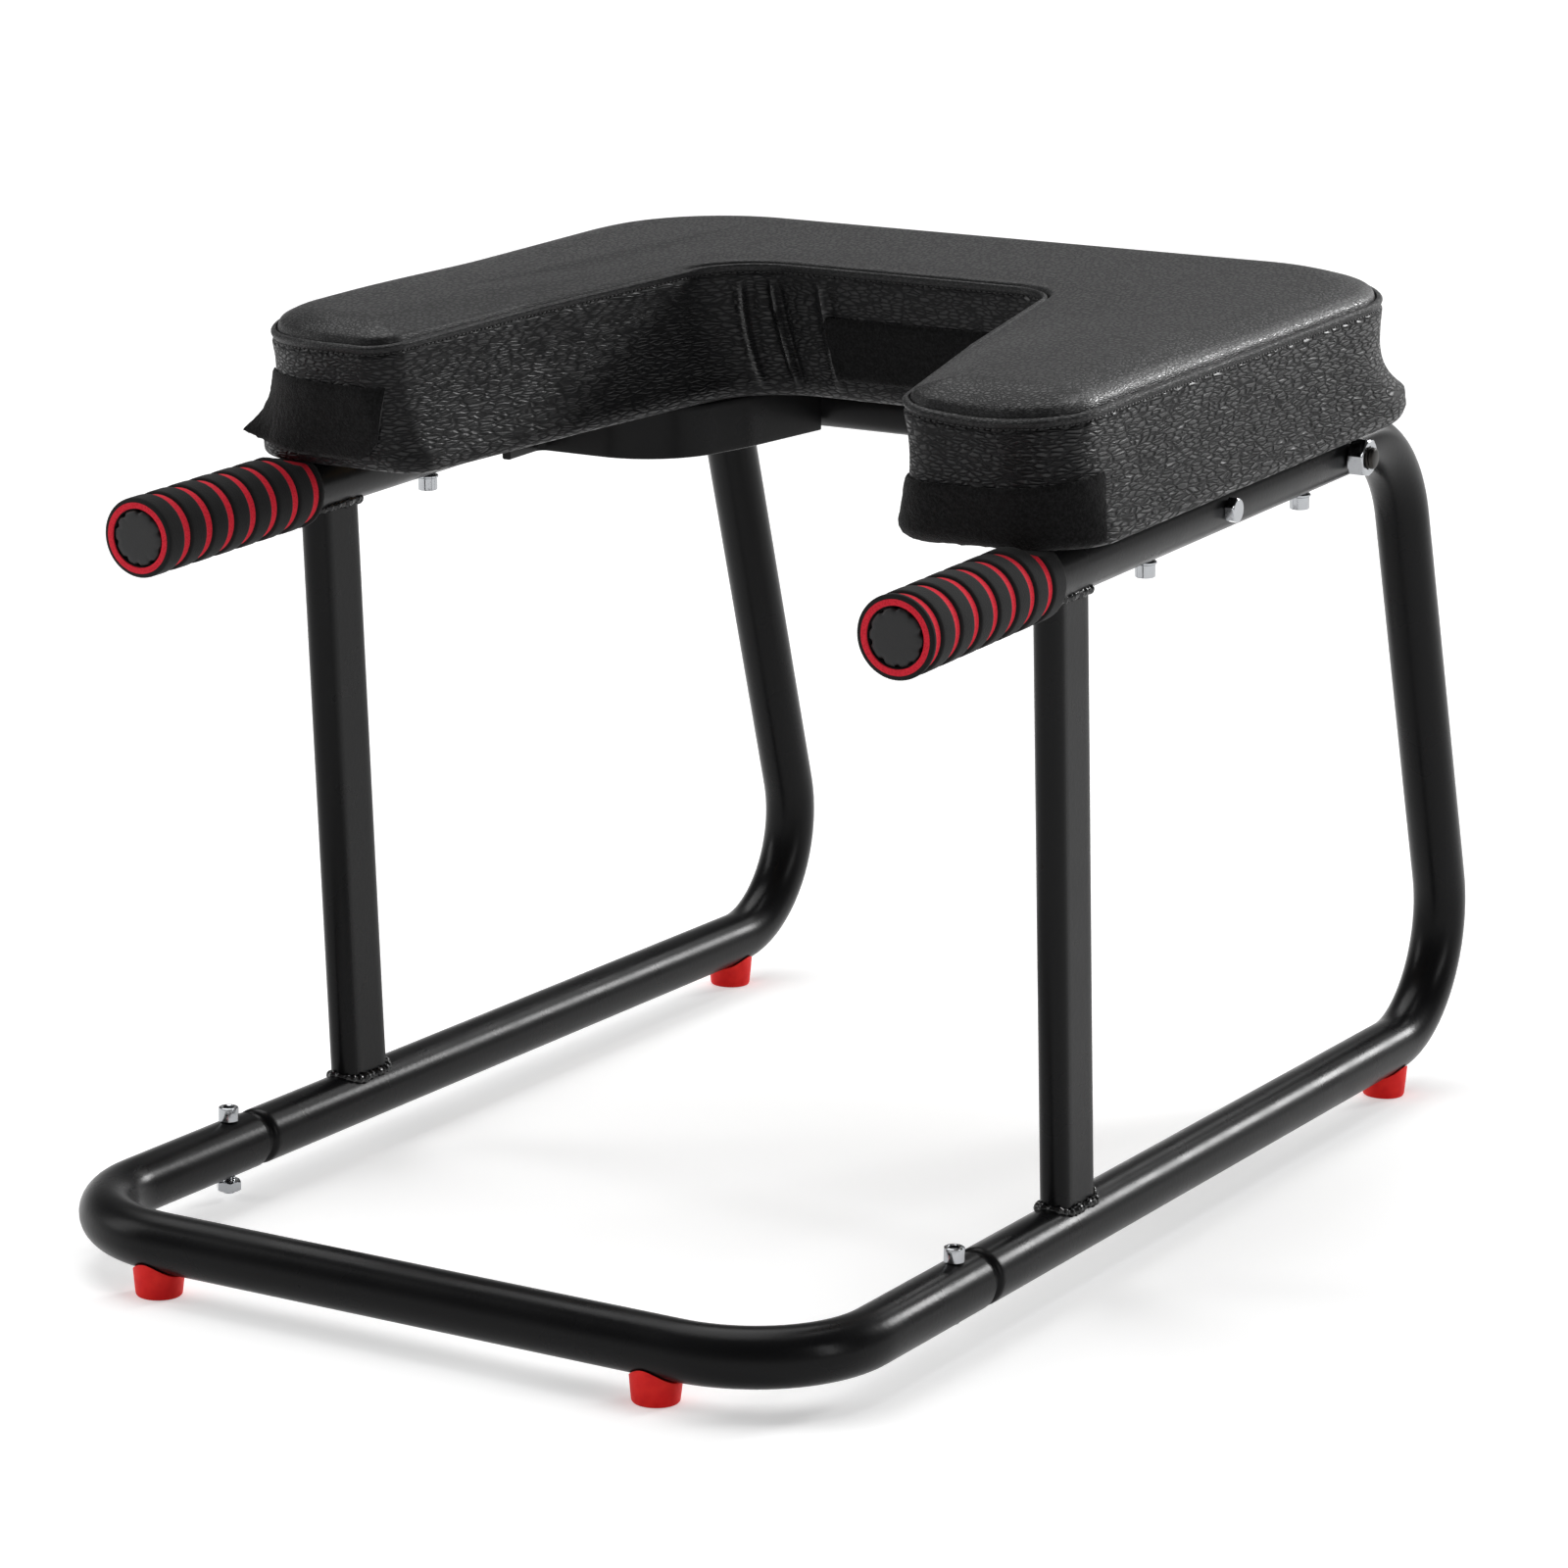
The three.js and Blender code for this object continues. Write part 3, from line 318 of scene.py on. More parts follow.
# Front floor tube
# The same one-inch tube bent into a wide U. It slides over the swaged ends of the floor rails
# and butts against their shoulders, where its cut end shows as a fine ring.
front_y, front_bend = -309.15, 56
rim_length, rim_ease = 0.5, 0.45
line, along = bent_line([[-rail_x, joint_y - fit, floor_z], [-rail_x, front_y, floor_z],
                         [rail_x, front_y, floor_z], [rail_x, joint_y - fit, floor_z]],
                        [front_bend, front_bend])
rim_line = np.concatenate([line[:1], line[:1] + along[:1] * rim_length, line[1:-1],
                           line[-1:] - along[-1:] * rim_length, line[-1:]])
rim_along = np.concatenate([along[:1], along, along[-1:]])
rim_size = np.full(len(rim_line), tube_r)
rim_size[[0, -1]] -= rim_ease
outside = carried(circle(tube_sides), rim_line, rim_along, upright, rim_size)
inside = carried(circle(tube_sides), line, along, upright, tube_r - tube_wall)[::-1]
piece = skin("front_floor_tube_bend", np.concatenate([outside, inside]), [powder_coat], closed=True)
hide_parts("front_floor_tube")

# Joint bolts
# M6 socket cap screws and nuts of plated steel, standing upright through the telescoped tubes.
# Nuts and threads are cut; the heads are cold formed, with a rolled edge and a hexagon socket.
joint_bolt_y, joint_nut_gap, joint_nut_h, thread_past = -184.55, 1.9, 4.6, 1.2
m6_r, m6_bore, m6_depth, m6_pitch, m6_flats = 2.95, 3.0, 0.35, 1.0, 10


def turned(radius, height, foot, way, first=None, sides=48):
    """Rows about an axis: foot + height way + radius (cos a first + sin a second).

    A row's radius and height are one number each, or one for every step of a."""
    way = np.asarray(way, float) / np.linalg.norm(way)
    if first is None:
        first = np.cross(way, upright if abs(way[2]) < 0.9 else [0, 1, 0])
    first = np.asarray(first, float) / np.linalg.norm(first)
    second = np.cross(way, first)
    a = angles(sides)
    radius = np.stack([np.broadcast_to(r, sides) for r in radius])
    height = np.stack([np.broadcast_to(h, sides) for h in height])
    return (np.asarray(foot, float) + height[..., None] * way
            + radius[..., None] * (np.cos(a)[:, None] * first + np.sin(a)[:, None] * second))


def hexagon(flats, sides=48):
    """Radius of a hexagon of that width across flats, at equal steps of the angle."""
    return flats / 2 / np.cos((angles(sides) + np.pi / 6) % (np.pi / 3) - np.pi / 6)


def chamfered(flats, height, rim=0.475, both=False):
    """Radii and heights up a hexagon whose corners a 30-degree cone cuts at its top, or at both ends."""
    depth = np.linspace(0, 0.09 * flats, 5)
    cut = np.minimum(hexagon(flats), (rim * flats + depth * np.sqrt(3))[:, None])
    low = list(zip(cut, depth)) if both else [(hexagon(flats), 0.0)]
    rows = low + [(r, height - d) for r, d in zip(cut[::-1], depth[::-1])]
    return [r for r, _ in rows], [h for _, h in rows]


def thread(radius, depth, pitch, start, stop, sides=48):
    """Radii and heights of a screw thread: radius less depth times a wave of (height / pitch - a / 360)."""
    height = np.arange(start, stop, pitch / 6)
    turn = np.arange(sides) / sides
    wave = np.abs(2 * ((height[:, None] / pitch - turn) % 1) - 1)
    return [radius - depth * w for w in wave], list(height)


# Bright nickel-chrome plate: mirror-like, slightly uneven under the plate, grey where it is dull.
chrome_plate, shader, where = new_finish("nickel_chrome_plated_steel", {
    "Base Color": linear("#a9abae"), "Metallic": 1.0})
dull = noise(chrome_plate, where, 0.0015, 3.0)
gloss = put(chrome_plate, "ShaderNodeMapRange", {
    "Value": dull, "From Min": 0.3, "From Max": 0.7, "To Min": 0.1, "To Max": 0.26})
wire(chrome_plate, gloss.outputs["Result"], shader.inputs["Roughness"])
relief(chrome_plate, shader, dull, 0.2, 0.00005)


def bolt_with_socket(name, foot, way, head_r, head_h, socket, shank_end, collar=0.0):
    """M6 cap screw: threaded shank down from the foot to shank_end, where its tip is chamfered.

    The head goes up from the foot with rolled edges, a collar below and a hexagon socket."""
    shank_radii, shank_heights = thread(m6_r, m6_depth, m6_pitch, shank_end, -0.1)
    tip_r = 0.7 * m6_r
    radii = [tip_r] + [np.minimum(r, tip_r + (h - shank_end + 0.2) * 2)
                       for r, h in zip(shank_radii, shank_heights)]
    heights = [shank_end - 0.05] + shank_heights
    radii += [head_r - 0.35 + collar, head_r + collar, head_r + collar, head_r, head_r,
              head_r - 0.12, head_r - 0.4, head_r - 0.9,
              socket * 0.62, hexagon(socket), hexagon(socket) * 0.98, hexagon(socket) * 0.3]
    heights += [0, 0.3, 1.0, 1.4, head_h - 0.55, head_h - 0.22, head_h - 0.05,
                head_h, head_h, head_h - 0.3, head_h - 3, head_h - 3.3]
    return skin(name, turned(radii, heights, foot, way), [chrome_plate], sharp=35)


def bored_nut(flats, height, bore, rim, ease):
    """Radii and heights of a hexagon nut: up its chamfered outside, then back down its eased bore."""
    radii, heights = chamfered(flats, height, both=True)
    return [rim] + radii + [rim, bore, bore], [0.0] + heights + [height, height - ease, 0.5]


# The left screw carries a nut. The right one ends just under the tube.
seat_z, under_z = floor_z + tube_r, floor_z - tube_r - fit - joint_nut_gap
for hand, s, tip_z in (("left", -1, under_z - joint_nut_h - thread_past),
                       ("right", 1, under_z + joint_nut_gap - thread_past)):
    bolt = bolt_with_socket(f"{hand}_joint_cap_screw", [s * rail_x, joint_bolt_y, seat_z], upright,
                            head_r=4.4, head_h=6.4, socket=4.6, shank_end=tip_z - seat_z)
    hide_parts(f"{hand}_joint_bolt")
    if hand == "left":
        radii, heights = bored_nut(m6_flats, joint_nut_h, m6_bore, m6_bore + 0.5, 0.5)
        foot = [s * rail_x, joint_bolt_y, under_z - joint_nut_h]
        nut = skin("left_joint_hex_nut", turned(radii, heights, foot, upright, [1, -0.3, 0]),
                   [chrome_plate], closed=True, sharp=30)
        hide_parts("left_joint_nut")

# Rubber feet
# Red moulded rubber plugs, tapered, saddled to the tube above and pushed into a hole in it by a
# stem. The rubber is matt, a little dusty on the sides, and scuffed round the sole.
foot_top_r, foot_sole_r, foot_sides = 10.9, 9.75, 48
front_left_x, front_right_x, rear_foot_y = -127, 115.3, 250.65
saddle_gap = 0.4
red_rubber, shader, where = new_finish("moulded_red_rubber", {
    "IOR": 1.5, "Roughness": 0.55, "Specular IOR Level": 0.25})
shades(red_rubber, shader, noise(red_rubber, where, 0.006, 4.0), "#f01618", "#ff2a22", 0.35, 0.7)
relief(red_rubber, shader, noise(red_rubber, where, 0.0008, 2.0), 0.3, 0.0001)

# Each row stands at its share of the way up to the tube's underside, which the top rows follow
flank_r = np.array([foot_sole_r - 1.2, foot_sole_r - 0.35, foot_sole_r, foot_sole_r + 0.15, 10.4, 10.75,
                    foot_top_r, foot_top_r - 0.5, foot_top_r - 2.5])
flank_share = np.array([0, 0, 0.04, 0.09, 0.5, 0.85, 0.97, 1.0, 1.0])
stem_r, stem_h = [3.9, 3.7, 3.7, 3.2], [11.2, 11.4, 13.5, 14.2]
a = angles(foot_sides)
for name, x, y, across in (("front_left", front_left_x, front_y, np.sin(a)),
                           ("front_right", front_right_x, front_y, np.sin(a)),
                           ("rear_left", -rail_x, rear_foot_y, np.cos(a)),
                           ("rear_right", rail_x, rear_foot_y, np.cos(a))):
    saddle = floor_z - np.sqrt((tube_r + saddle_gap) ** 2 - (flank_r[:, None] * across) ** 2)
    heights = saddle * flank_share[:, None]
    rows = turned(list(flank_r) + stem_r, list(heights) + stem_h, [x, y, 0], upright, [1, 0, 0])
    piece = skin(f"{name}_rubber_foot", rows, [red_rubber])
    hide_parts(f"{name}_foot")

# Rear cross tube
# One-inch tube between the top rails behind the head opening, coped to them. A threaded plug in
# each end stands out through the rail as a black M10 stud, pulled up by a large plated nut.
cross_t, nut_flats, nut_height = 154.4, 16, 8
cope_gap = 0.1
plug_from, plug_to = rail_x - 29, rail_x - 24.2
a = angles(tube_sides)
walls = []
for radius in (tube_r, tube_r - tube_wall):
    reach = rail_x - np.sqrt((tube_r + cope_gap) ** 2 - (radius * np.cos(a)) ** 2)
    share = np.linspace(-1, 1, 41)[:, None]
    walls.append(on_deck(np.stack([share * reach, cross_t + radius * np.cos(a) + 0 * share,
                                   radius * np.sin(a) + 0 * share], axis=-1)))
piece = skin("rear_cross_tube_bar", np.concatenate([walls[0], walls[1][::-1]]), [powder_coat], closed=True)
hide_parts("rear_cross_tube")

# Chemically blackened steel: dark and half matt, with a brownish bloom and oil in the thread.
black_oxide, shader, where = new_finish("black_oxide_steel", {"Metallic": 1.0, "Roughness": 0.42})
shades(black_oxide, shader, noise(black_oxide, where, 0.003, 3.0), "#2a2826", "#3b3937")

for hand, s in (("left", -1), ("right", 1)):
    way = [s, 0, 0]
    nut_from = rail_x + tube_r + fit
    stud_end = nut_from + nut_height + 2.8
    # Plug in the tube's end, M10 thread, and the stud's chamfered tip
    radii, heights = thread(4.95, 0.55, 1.5, plug_to, stud_end - 0.6)
    radii = [9.8, 10.55, 10.55, 9.8] + radii + [4.2, 3.6]
    heights = [plug_from, plug_from + 0.4, plug_to - 0.2, plug_to] + heights + [stud_end - 0.3, stud_end]
    stud = skin(f"{hand}_cross_threaded_stud", on_deck(turned(radii, heights, [0, cross_t, 0], way)),
                [black_oxide])
    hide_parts(f"{hand}_cross_stud")
    radii, heights = bored_nut(nut_flats, nut_height, 5.0, 5.6, 0.6)
    nut = skin(f"{hand}_cross_hex_nut",
               on_deck(turned(radii, heights, [s * nut_from, cross_t, 0], way, [0, 0.2, 1])),
               [chrome_plate], closed=True, sharp=30)
    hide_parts(f"{hand}_cross_nut")

# Support arms
# Flat steel bar on edge, bent from a tab bolted to the rail's inner side, inwards under the seat
# and back to the cross tube. The sheared edges are eased, and the bar is powder-coated.
arm_thick, arm_height, arm_bolt_t = 4.5, 24.4, 25.8
tab_length, step_t, knee_x, knee_side_x, knee_side_t, arm_end_x = 12.5, 41, 99, 84.5, 92, 75.5
arm_bends = [6, 42, 84]
into_weld = 0.6
arm_head_h, arm_nut_h = 4.2, 5
tab_x = rail_x - tube_r - fit - arm_thick / 2
edge = 0.9
core = np.array([arm_height / 2 - edge, arm_thick / 2 - edge])
quarter = np.linspace(0, np.pi / 2, 5)
corner = edge * np.stack([np.cos(quarter), np.sin(quarter)], axis=-1)
side = np.stack([np.linspace(9, -9, 7), np.full(7, arm_thick / 2)], axis=-1)
bar_section = np.concatenate([corner + core, side, corner[:, ::-1] * [-1, 1] + core * [-1, 1],
                              -corner - core, -side, corner[:, ::-1] * [1, -1] + core * [1, -1]])

for hand, s in (("left", -1), ("right", 1)):
    line, along = bent_line([[s * tab_x, arm_bolt_t - tab_length, 0], [s * tab_x, step_t, 0],
                             [s * knee_x, step_t, 0], [s * knee_side_x, knee_side_t, 0],
                             [s * arm_end_x, cross_t - tube_r + into_weld, 0]], arm_bends, spacing=4)
    bar = on_deck(carried(bar_section, line, along, upright))
    piece = skin(f"{hand}_support_arm_bar", bar, [powder_coat])
    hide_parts(f"{hand}_support_arm")
    # Hexagon screw through rail and tab, its head outside, and its nut on the tab's inner face
    inner, outer = rail_x - tube_r - 2 * fit - arm_thick, rail_x + tube_r + fit
    way, foot = [s, 0, 0], [0, arm_bolt_t, 0]
    radii, heights = thread(m6_r, m6_depth, m6_pitch, inner - 7, outer - 0.4)
    head_r, head_h = chamfered(m6_flats, arm_head_h)
    radii = [2.2] + radii + [4.6, 4.9] + head_r + [4.2]
    heights = [inner - 7.1] + heights + [outer, outer] + [outer + h for h in head_h] + [outer + arm_head_h]
    bolt = skin(f"{hand}_arm_hex_bolt", on_deck(turned(radii, heights, foot, way, [0, 0.35, 1])),
                [chrome_plate], sharp=30)
    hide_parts(f"{hand}_arm_bolt")
    radii, heights = bored_nut(m6_flats, arm_nut_h, m6_bore, m6_bore + 0.5, 0.5)
    foot = [s * (inner - arm_nut_h), arm_bolt_t, 0]
    nut = skin(f"{hand}_arm_hex_nut", on_deck(turned(radii, heights, foot, way, [0, 0.1, 1])),
               [chrome_plate], closed=True, sharp=30)
    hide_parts(f"{hand}_arm_nut")

# Hand grips
# Two-layer nitrile foam sleeves pushed over the rails' front ends: a black skin over a red core,
# with seven ring grooves ground through the skin. The cut front end shows the red core as a ring.
grip_r, groove_r, grip_length, bore_r, edge_drop = 17.2, 16.0, 113.0, 12.6, 1.6
grooves, groove, short_band, long_band = 7, 5.2, 2.8, 10.8
grip_front = handle_end_t - 3
pressed_t, free_height, pressed_height = -146.6, 18, 12.75

# The skin is dull and soft, and its closed cells, under a millimetre across, show as a fine stipple
# that breaks up the light.
black_foam, shader, where = new_finish("black_nitrile_foam_skin", {
    "Base Color": linear("#101011"), "Roughness": 0.85, "Specular IOR Level": 0.25, "IOR": 1.5,
    "Sheen Weight": 0.05, "Sheen Roughness": 0.5})
relief(black_foam, shader, cells(black_foam, where, 0.0009), 0.5, 0.00015)

# The same foam dyed red, cut open by the grinding, so its cells show as pits. Their colour is painted
# lighter on the rims and darker in the hollows, as painted shade.
red_foam, shader, where = new_finish("red_nitrile_foam_core", {
    "Roughness": 0.8, "Specular IOR Level": 0.2, "IOR": 1.5})
open_cells = cells(red_foam, where, 0.0008)
# Painted shade: darker red in the middle of each cell, lighter towards its rim
shades(red_foam, shader, open_cells, "#c21a2a", "#e02a3c", high_at=0.6)
relief(red_foam, shader, open_cells, 0.4, 0.0001)


def sleeve_profile(front_band):
    """Radius, height and look of each row, 0 for black and 1 for red, round the sleeve's section.

    Bands are level with eased ends, the first front_band long, and the grooves between are flat."""
    pitch = (grip_length - short_band - long_band - groove) / (grooves - 1)
    starts = front_band + pitch * np.arange(grooves)
    rows_r, rows_h, red_rows = [bore_r, 12.75, 15.0, 15.25], [0.6, 0.0, 0.0, 0.08], [1, 1, 1]
    for i, (low, high) in enumerate(zip([0, *(starts + groove)], [*starts, grip_length])):
        ease = np.array([0.0, 0.12, 0.4, 0.9, 1.5]) * min(1, (high - low) / 4.5)
        rise = np.array([0.0, 0.45, 0.78, 0.95, 1.0])
        from_groove, from_end = groove_r + (grip_r - groove_r) * rise, grip_r - edge_drop + edge_drop * rise
        first_r = from_end if i == 0 else from_groove
        last_r = from_end if i == grooves else from_groove
        level = np.linspace(low + ease[-1], high - ease[-1], 5)[1:-1]
        rows_r += [*first_r, grip_r, grip_r, grip_r, *last_r[::-1]]
        rows_h += [*(low + ease + (0.1 if i == 0 else 0)), *level, *(high - ease[::-1])]
        red_rows += [0] * 13
        if i < grooves:
            rows_r += [groove_r - 0.1] * 2
            rows_h += [high + 0.35, high + groove - 0.35]
            red_rows[-1] = 1
            red_rows += [1, 1]
    rows_r += [13.5, bore_r, bore_r]
    rows_h += [grip_length, grip_length - 0.1, 0.6]
    red_rows += [0, 0, 0, 0, 0]
    return rows_r, rows_h, red_rows


# End plugs: dark grey, waxy and half matt from the mould's spark-eroded face.
moulded_plastic, shader, where = new_finish("moulded_black_polyethylene", {
    "Base Color": linear("#1b1b1c"), "IOR": 1.5, "Specular IOR Level": 0.35, "Roughness": 0.5})
relief(moulded_plastic, shader, noise(moulded_plastic, where, 0.0007, 3.0), 0.4, 0.0001)

plug_r, plug_stem_r, plug_sides, notches = 12, 10.5, 96, 10
for hand, s in (("left", -1), ("right", 1)):
    rows_r, rows_h, red_rows = sleeve_profile(short_band if s > 0 else long_band)
    rows = turned(rows_r, rows_h, [s * rail_x, grip_front, 0], [0, 1, 0], upright, sides=72)
    # The seat's front edge presses on the sleeve from above and flattens it
    t, n = rows[..., 1], rows[..., 2]
    pressed = np.clip((t - pressed_t + 6) / 8, 0, 1)
    limit = free_height - (free_height - pressed_height) * pressed ** 2 * (3 - 2 * pressed)
    outer = np.hypot(rows[..., 0] - s * rail_x, n) > 13
    rows[..., 2] = np.where(outer & (n > limit), limit + 0.12 * (n - limit), n)
    sleeve = skin(f"{hand}_foam_grip_sleeve", on_deck(rows), [black_foam, red_foam], closed=True,
                  row_look=red_rows, sharp=60)
    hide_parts(f"{hand}_grip")
    # Uneven notches round the plug's rim, left by the mould's ejector and the hammer
    random = np.random.default_rng(5 + s)
    a = angles(plug_sides)
    teeth = np.zeros(plug_sides)
    for k in range(notches):
        middle = (k + random.uniform(-0.12, 0.12)) / notches * 2 * np.pi
        gap = np.abs((a - middle + np.pi) % (2 * np.pi) - np.pi) * 12
        teeth = np.maximum(teeth, random.uniform(0.7, 1.15) * np.clip(1.5 - gap, 0, 1) ** 0.7)
    face_r = plug_r - teeth
    radii = [face_r * 0.35, face_r - 3.2, face_r - 1.4, face_r - 0.5, face_r, face_r,
             plug_stem_r, plug_stem_r, plug_stem_r - 2]
    heights = [0.0, 0.0, 0.12, 0.45, 1.1, 2.6, 2.7, 18.5, 19.0]
    rows = turned(radii, heights, [s * rail_x, grip_front, 0], [0, 1, 0], upright, sides=plug_sides)
    plug = skin(f"{hand}_notched_end_plug", on_deck(rows), [moulded_plastic], sharp=50)
    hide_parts(f"{hand}_handle_plug")

# Seat board, tee nuts and seat bolts
# A 12 mm plywood board carries the seat. Zinc-plated tee nuts in it take four M6 screws from
# under the rails. Board and tee nuts keep their CAD shape, and show only from below.

# Sanded birch ply: pale and dry, with veins 2 mm apart that run along the stool.
plywood, shader, where = new_finish("sanded_birch_plywood", {"Roughness": 0.75})
along_grain = put(plywood, "ShaderNodeMapping", {"Vector": where, "Scale": (1.0, 0.08, 1.0)})
veins = noise(plywood, along_grain.outputs["Vector"], 0.002, 5.0)
shades(plywood, shader, veins, "#a8814f", "#d6b384")
relief(plywood, shader, veins, 0.3, 0.0002)

# Bright zinc plate: grey and half matt, with a faint spangle.
zinc_plate, shader, where = new_finish("zinc_plated_steel", {"Metallic": 1.0, "Roughness": 0.35})
shades(zinc_plate, shader, cells(zinc_plate, where, 0.002), "#a9adb2", "#c6c9cd")

for node, finish in [("seat_board", plywood)] + [(f"{end}_{hand}_tee_nut", zinc_plate)
                                                 for end in ("front", "rear") for hand in ("left", "right")]:
    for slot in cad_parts[node].material_slots:
        slot.material = finish

# The screws' heads sit under the rails, so the screws point up into the board
down = on_deck([0, 0, -1]) - on_deck([0, 0, 0])
for end, t in (("front", -29.4), ("rear", 125.3)):
    for hand, s in (("left", -1), ("right", 1)):
        foot = on_deck([s * rail_x, t, -tube_r - fit])
        screw = bolt_with_socket(f"{end}_{hand}_seat_cap_screw", foot, down,
                                 head_r=4.4, head_h=7, socket=4.4, shank_end=-36.5, collar=0.55)
        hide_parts(f"{end}_{hand}_seat_bolt")

# Seat
# U-shaped shoulder rest: a foam block on the board, in a cover sewn from grained black PU leather.
# A smooth top panel meets the wall panel at a lipped seam, top-stitched 3.4 mm below it. The wall
# is drawn in at half height, and the cover is turned in under the board as a hem.
seat_low = np.array([[209.5, 234.5], [209.5, -140], [119, -140], [101, -18], [80, 97],
                     [-80, 97], [-97, -18], [-111, -140], [-209.5, -140], [-209.5, 234.5]])
seat_high = np.array([[204, 217], [204, -150], [127.5, -151], [102, -40], [78, 86],
                      [-89, 86], [-110, -50], [-119, -153], [-204, -152], [-204, 217.0]])
seat_low_r = np.array([76, 33, 20, 150, 25, 36, 150, 17, 32, 76.0])
seat_high_r = np.array([76, 33, 20, 150, 25, 36, 150, 17, 56, 76.0])
# How much faster than its inset each corner's radius shrinks, and 1 for outward corners, -1 for inward
seat_tighten = np.array([1, 1, 1, 1, 1, 1, 1, 1, 1.36, 1])
seat_turn = np.array([1, 1, 1, -1, -1, -1, -1, 1, 1, 1.0])
seat_corners, folded_corner = len(seat_low), 5
seat_base, seam_h, crown, shoulder, draw_in, bottom_edge = 12.8, 57, 7.0, 27, 2.6, 5.5
seat_step, least_corner_r = 1.7, 2.5


def cross(a, b):
    """The z part of the cross product of plan vectors."""
    return a[..., 0] * b[..., 1] - a[..., 1] * b[..., 0]


def seat_plan(share, inset):
    """Plan of the seat at each level, counterclockwise, with the same columns at every level.

    Corners and radii lie share of the way from the bottom edge to the seam, each side is moved inwards
    by inset, and each corner is an arc of its radius, less inset outside and plus inset inside."""
    share, inset = np.broadcast_arrays(np.atleast_1d(share) * 1.0, np.atleast_1d(inset) * 1.0)

    def corner_arcs(share, inset):
        """Where each corner's arc starts, its way there and towards its centre, its radius and turn."""
        corner = seat_low + (seat_high - seat_low) * share[:, None, None]
        way = np.roll(corner, -1, axis=1) - corner
        way /= np.linalg.norm(way, axis=2, keepdims=True)
        moved = corner + np.stack([way[..., 1], -way[..., 0]], axis=-1) * inset[:, None, None]
        before, moved_before = np.roll(way, 1, axis=1), np.roll(moved, 1, axis=1)
        reach = cross(moved - moved_before, way) / cross(before, way)
        met = moved_before + before * reach[..., None]
        bend = np.arccos(np.clip((before * way).sum(axis=2), -1, 1))
        radius = seat_low_r + (seat_high_r - seat_low_r) * share[:, None]
        radius = np.maximum(radius - seat_turn * seat_tighten * inset[:, None], least_corner_r)
        start = met - before * (radius * np.tan(bend / 2))[..., None]
        into = np.stack([before[..., 1], -before[..., 0]], axis=-1) * seat_turn[:, None]
        return start, before, into, radius, bend

    def arc(of, k, steps):
        """Points of corner k's arc: centre + radius (way sin a - towards centre cos a)."""
        start, before, into, radius, bend = [part[:, k] for part in of]
        a = bend[:, None] * np.linspace(0, 1, steps + 1)
        r = radius[:, None, None]
        return (start + into * radius[:, None])[:, None] + r * (
            before[:, None] * np.sin(a)[..., None] - into[:, None] * np.cos(a)[..., None])

    # The seam itself says how many columns each arc and side get, twice as many where the folds are
    model = corner_arcs(np.ones(1), np.zeros(1))
    length = model[3][0] * model[4][0]
    length[folded_corner] *= 2
    arc_steps = [max(8, int(part / seat_step)) for part in length]
    model_arcs = [arc(model, k, arc_steps[k])[0] for k in range(seat_corners)]
    own = corner_arcs(share, inset)
    arcs = [arc(own, k, arc_steps[k]) for k in range(seat_corners)]
    parts = []
    for k in range(seat_corners):
        after = (k + 1) % seat_corners
        gap = np.linalg.norm(model_arcs[after][0] - model_arcs[k][-1])
        along = np.linspace(0, 1, max(3, int(gap / seat_step)) + 1)[1:-1, None]
        last, first = arcs[k][:, -1:], arcs[after][:, :1]
        parts += [arcs[k], last + (first - last) * along]
    return np.concatenate(parts, axis=1)[:, ::-1]


seam_ring = seat_plan(1.0, 0.0)[0]
seam_way = np.roll(seam_ring, -1, axis=0) - np.roll(seam_ring, 1, axis=0)
seam_way /= np.linalg.norm(seam_way, axis=1)[:, None]
seam_out = np.stack([seam_way[:, 1], -seam_way[:, 0]], axis=-1)
seam_run = np.concatenate([[0], np.cumsum(np.linalg.norm(np.diff(seam_ring, axis=0), axis=1))])
seam_length = seam_run[-1] + np.linalg.norm(seam_ring[0] - seam_ring[-1])


def run_at(x, t):
    """Distance along the seam of its point nearest to (x, t)."""
    return seam_run[np.argmin(np.hypot(*(seam_ring - [x, t]).T))]


def hump(run, middle, width):
    """exp(-(distance along the seam / width) squared), going round the closed seam."""
    gap = (run - middle + seam_length / 2) % seam_length - seam_length / 2
    return np.exp(-(gap / width) ** 2)


def smooth(x):
    """3 x squared - 2 x cubed, from 0 to 1."""
    x = np.clip(x, 0, 1)
    return x * x * (3 - 2 * x)


# The seam round the head opening lies 1 to 6 mm higher than the outer seam. It dips by 1.2 mm at the
# outer front corners and by 3 mm on the right arm's front, where the cover is pulled down hardest.
# opening is 1 round the head opening, and rear is 1 round the rear.
opening = smooth((seam_run - run_at(-119, -153)) / 24 + 0.5)
opening = opening * smooth((run_at(125, -151) - seam_run) / 24 + 0.5)
corner_dips = hump(seam_run, run_at(204, -150), 22) + hump(seam_run, run_at(-204, -150), 22)
seam_lift = opening * (1 + 5 * (seam_ring[:, 1] + 151) / 237) - 1.2 * corner_dips
seam_lift = seam_lift - 3.0 * hump(seam_run, run_at(163, -151), 25)
rear = smooth((seam_ring[:, 1] - 60) / 100) * (1 - opening)


def seat_wall(h, inset=0.0):
    """Rows of the side wall at heights h, shares of the seam height, drawn in by draw_in sin(180 h).

    The wall leans by 1 - (1 - h) squared. Round the rear it stands upright over the board first, then
    leans by 1 - (1 - (h - 0.22) / 0.5) to the power 2.6."""
    h = np.atleast_1d(h)
    even = seat_plan(1 - (1 - h) ** 2, inset + draw_in * np.sin(np.pi * h))
    late = seat_plan(1 - (1 - np.clip((h - 0.22) / 0.5, 0, 1)) ** 2.6, inset)
    height = seat_base + h[:, None] * (seam_h + seam_lift)
    return np.concatenate([even + (late - even) * rear[:, None], height[..., None]], axis=-1)


